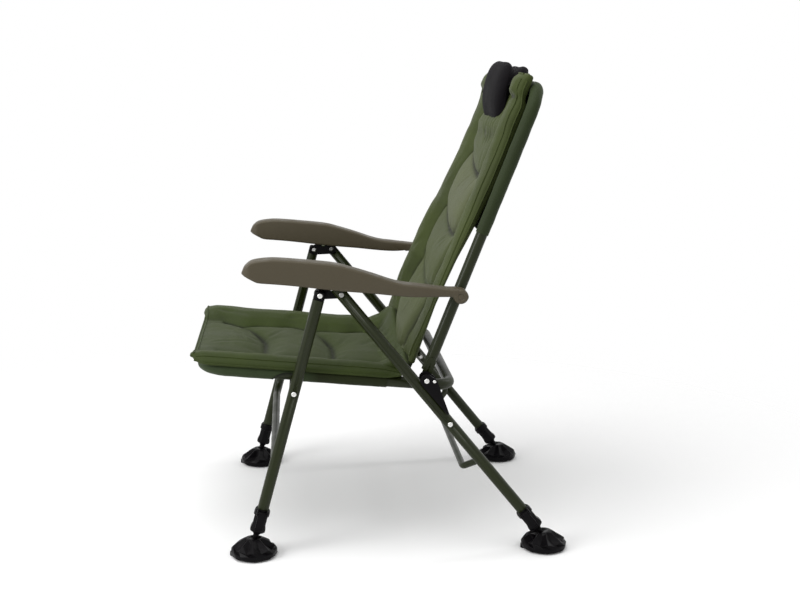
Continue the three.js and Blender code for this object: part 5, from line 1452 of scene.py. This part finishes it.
def back_front(u, v):
    """How far the pad's front stands before the back's frame."""
    x, z = (2 * u - 1) * back_pad_half, back_along(u, v)
    far, near = back_seams(z)
    middle = back_depth * read(seam_line, v) - 0.004
    inside = step_up(x, far - 0.004, far + 0.016) * (1 - step_up(x, near - 0.016, near + 0.004))
    ends = sorted(pocket_line(x, end) for end, depth in pocket_ends)
    # A panel stands proud just above its lower end and thins out towards the one above
    above = [e for e in ends if e <= z]
    start = above[-1] if above else ends[0] - 0.1
    following = [e for e in ends if e > z]
    stop = following[0] if following else 0.70
    share = (z - start) / max(0.02, stop - start)
    swell = min(1, ((z - start) / 0.022)) ** 0.5 * (1 - 0.6 * share ** 1.5) if z > start else 0
    if z > 0.56:
        swell *= 1 - step_up(z, 0.56, 0.60)
    middle += 0.0095 * swell * inside
    for end, depth in pocket_ends:
        apart = z - pocket_line(x, end)
        tuck = depth * (0.45 + 0.55 * math.exp(-((x - 0.07) / 0.09) ** 2))
        middle -= inside * tuck * (math.exp(-(apart / 0.0055) ** 2) + 0.35 * (
            math.exp(apart / 0.022) if apart < 0 else 0))
    bolster = back_depth * read(right_line if u < 0.5 else left_line, v)
    line = far if x < 0 else near
    # The bolster's inner slope follows the seam
    share = (abs(x) - abs(line)) / (back_pad_half - abs(line))
    rise = 0 if share < 0 else read(across_line, 0.56 + 0.44 * min(1, share))
    depth = middle + (bolster - middle) * rise
    depth -= 0.0045 * math.exp(-((x - line) / 0.006) ** 2)
    depth -= crease_depth(x, z, back_creases)
    depth += 0.0012 * noise.noise(V((x * 11, z * 11, 5))) + 0.0003 * noise.noise(V((x * 32, z * 32, 9)))
    pull = math.exp(-abs(x - line) / 0.016)
    depth -= 0.0014 * pull * max(0, noise.noise(V((x * 8, z * 65, 2.2))) + 0.1)
    if abs(x) > hem_start:
        # The bolster's top is folded over a hem
        depth -= 0.0052 * math.exp(-((z - hem_height) / 0.0055) ** 2)
        depth += 0.0020 * step_up(z, 0.638, 0.65) * noise.noise(V((x * 30, z * 30, 1)))
    return max(depth, back_rear(u, v) + 0.005)


def back_place(u, v, t):
    front, rear = back_front(u, v), back_rear(u, v)
    x, z = (2 * u - 1) * back_pad_half, back_along(u, v)
    depth = rear + (front - rear) * t
    if 0 < t < 1:
        swell = 0.006 * math.sin(math.pi * t) ** 0.7
        if u in (0, 1):
            x += math.copysign(swell, x)
        if v in (0, 1):
            z += swell * (-0.5 if v == 0 else 0.5)
    # The crown's edge is drawn in, which rounds the bolster's shoulder
    if t == 1 and abs(2 * u - 1) > 0.985:
        x -= math.copysign(0.0022, x)
    return x, -depth, z


def back_stitched(u, v):
    """Whether a place on the front is sewn down."""
    x, z = (2 * u - 1) * back_pad_half, back_along(u, v)
    far, near = back_seams(z)
    seam_near = min(abs(x - far), abs(x - near))
    pinch_near = min(abs(z - pocket_line(x, end)) for end, depth in pocket_ends) if far < x < near else 1
    hem_near = abs(z - hem_height) if abs(x) > hem_start else 1
    return seam_near < 0.0034 or pinch_near < 0.0036 or hem_near < 0.0032


back_pad, shares = slab("back_pad_cover", back_frame, 88, 116, 6, back_place, back_cloth, (0.496, 0.672))
puff(back_pad, held_places(shares, back_stitched), 0.0065)
cords = edge_cords(back_pad, back_frame, shares, 0.5, 0.99, back_cloth)
refined(back_pad)
crease_share(back_pad, 1500, 6)


def in_back_middle(place):
    """How much of a place is cut from the panels' cloth, which differs a little from panel to panel."""
    p = back_frame.inverted() @ place
    far, near = back_seams(p.z)
    tone = 1.0
    for end, shade in ((0.443, 0.15), (0.297, 1.0), (0.160, 0.4), (0.0, 0.6)):
        if p.z > pocket_line(p.x, end):
            tone = shade
            break
    # The near bolster is coloured a little lighter towards its foot
    low_bolster = 0.13 * (1 - step_up(p.z, 0.46, 0.56))
    beyond = step_up(p.x, near - 0.003, near + 0.003)
    # The cover's rear is plain
    across = min(1, max(0, (p.x / back_pad_half + 1) / 2))
    along = min(1, max(0, (p.z - back_foot) / (back_head - back_foot)))
    return (tone * step_up(p.x, far - 0.003, far + 0.003) * (1 - beyond) + low_bolster * beyond) * (
        step_up(-p.y - back_rear(across, along), 0.003, 0.009))


mark_panel(back_pad, in_back_middle)
back_pad = joined("back_pad_cover", [back_pad] + cords)
fit(back_pad, "back_pad", "backrest")

# Head pillow
# A soft black pillow laid over the top of the back between its bolsters, lobed where it folds.
pillow_cloth = cloth(
    "pillow_cloth", (0.0028, 0.0022, 0.003), (0.7, 0.68, 0.75), 0.01, 0.4, rough=0.75, shine=0.07)
pillow_half, pillow_depth, pillow_height, pillow_foot = 0.122, 0.070, 0.126, 0.584
section = [
    (0.12, -0.20), (0.36, -0.125), (0.57, 0.02), (0.75, 0.24), (0.84, 0.46), (0.88, 0.69), (0.84, 0.88),
    (0.71, 0.97), (0.57, 0.93), (0.45, 0.845), (0.33, 0.925), (0.17, 1), (0.01, 0.98), (-0.04, 0.89),
    (0.03, 0.855), (0.35, 0.84), (0.35, 0.56), (0.24, 0.4), (0.22, 0.2),
]
looped = [(p.y, p.z) for p in smooth_curve([section[-1]] + section + section[:2], 5)[5:-5]]
station_line = shares_line(
    [(0, 0.9), (0.1, 0.92), (0.275, 1), (0.5, 0.97), (0.725, 1), (0.9, 0.92), (1, 0.9)], 0.03)
# Behind, the pillow lies on the back up to its top, and hangs over it above
height_shares, rear_shares = (0, 0.835, 0.845), (0.334, 0.334, -0.05)
rings = []
stations = [0.5 - 0.5 * math.cos(math.pi * i / 48) for i in range(49)]
for station in stations:
    size = read(station_line, station)
    # Each end closes in a dome
    past = max(0.0, abs(2 * station - 1) - 0.62) / 0.38
    size *= math.sqrt(max(0.01, 1 - past ** 2))
    ring = []
    for depth, height in looped:
        h = 0.52 + (height - 0.52) * size
        d = 0.6 + (depth - 0.6) * size
        x = (2 * station - 1) * pillow_half
        fold = 0.03 * noise.noise(V((x * 11, d * 2, h * 2))) + 0.006 * noise.noise(V((x * 30, d * 6, h * 6)))
        d += fold * (1 if depth > 0.4 else 0.2)
        h += fold * 0.5
        d = max(d, float(np.interp(h, height_shares, rear_shares)))
        ring.append(V((x, -d * pillow_depth, pillow_foot + h * pillow_height)))
    rings.append(ring)
pillow = lofted("head_pillow_cover", back_frame, rings, pillow_cloth, 180)
held = np.zeros(len(pillow.data.vertices))
inverse = back_frame.inverted()
# The dome ends, the side that lies on the back, and the fold at the top are held
for n, vert in enumerate(pillow.data.vertices):
    p = inverse @ vert.co
    at_back = -p.y < pillow_depth * 0.36
    at_fold = abs(-p.y - 0.43 * pillow_depth) < 0.004 and p.z > pillow_foot + 0.1
    held[n] = 1 if at_back or at_fold or n < len(looped) or n >= len(held) - len(looped) else 0
puff(pillow, held, 0.004)
mesh = bmesh.new()
mesh.from_mesh(pillow.data)
bmesh.ops.triangulate(mesh, faces=[f for f in mesh.faces if len(f.verts) > 4])
mesh.to_mesh(pillow.data)
mesh.free()
refined(pillow)
planar_uv(pillow, back_frame, (0, 2))
crease_share(pillow, 1200, 6)
fit(pillow, "head_pillow", "pillow")
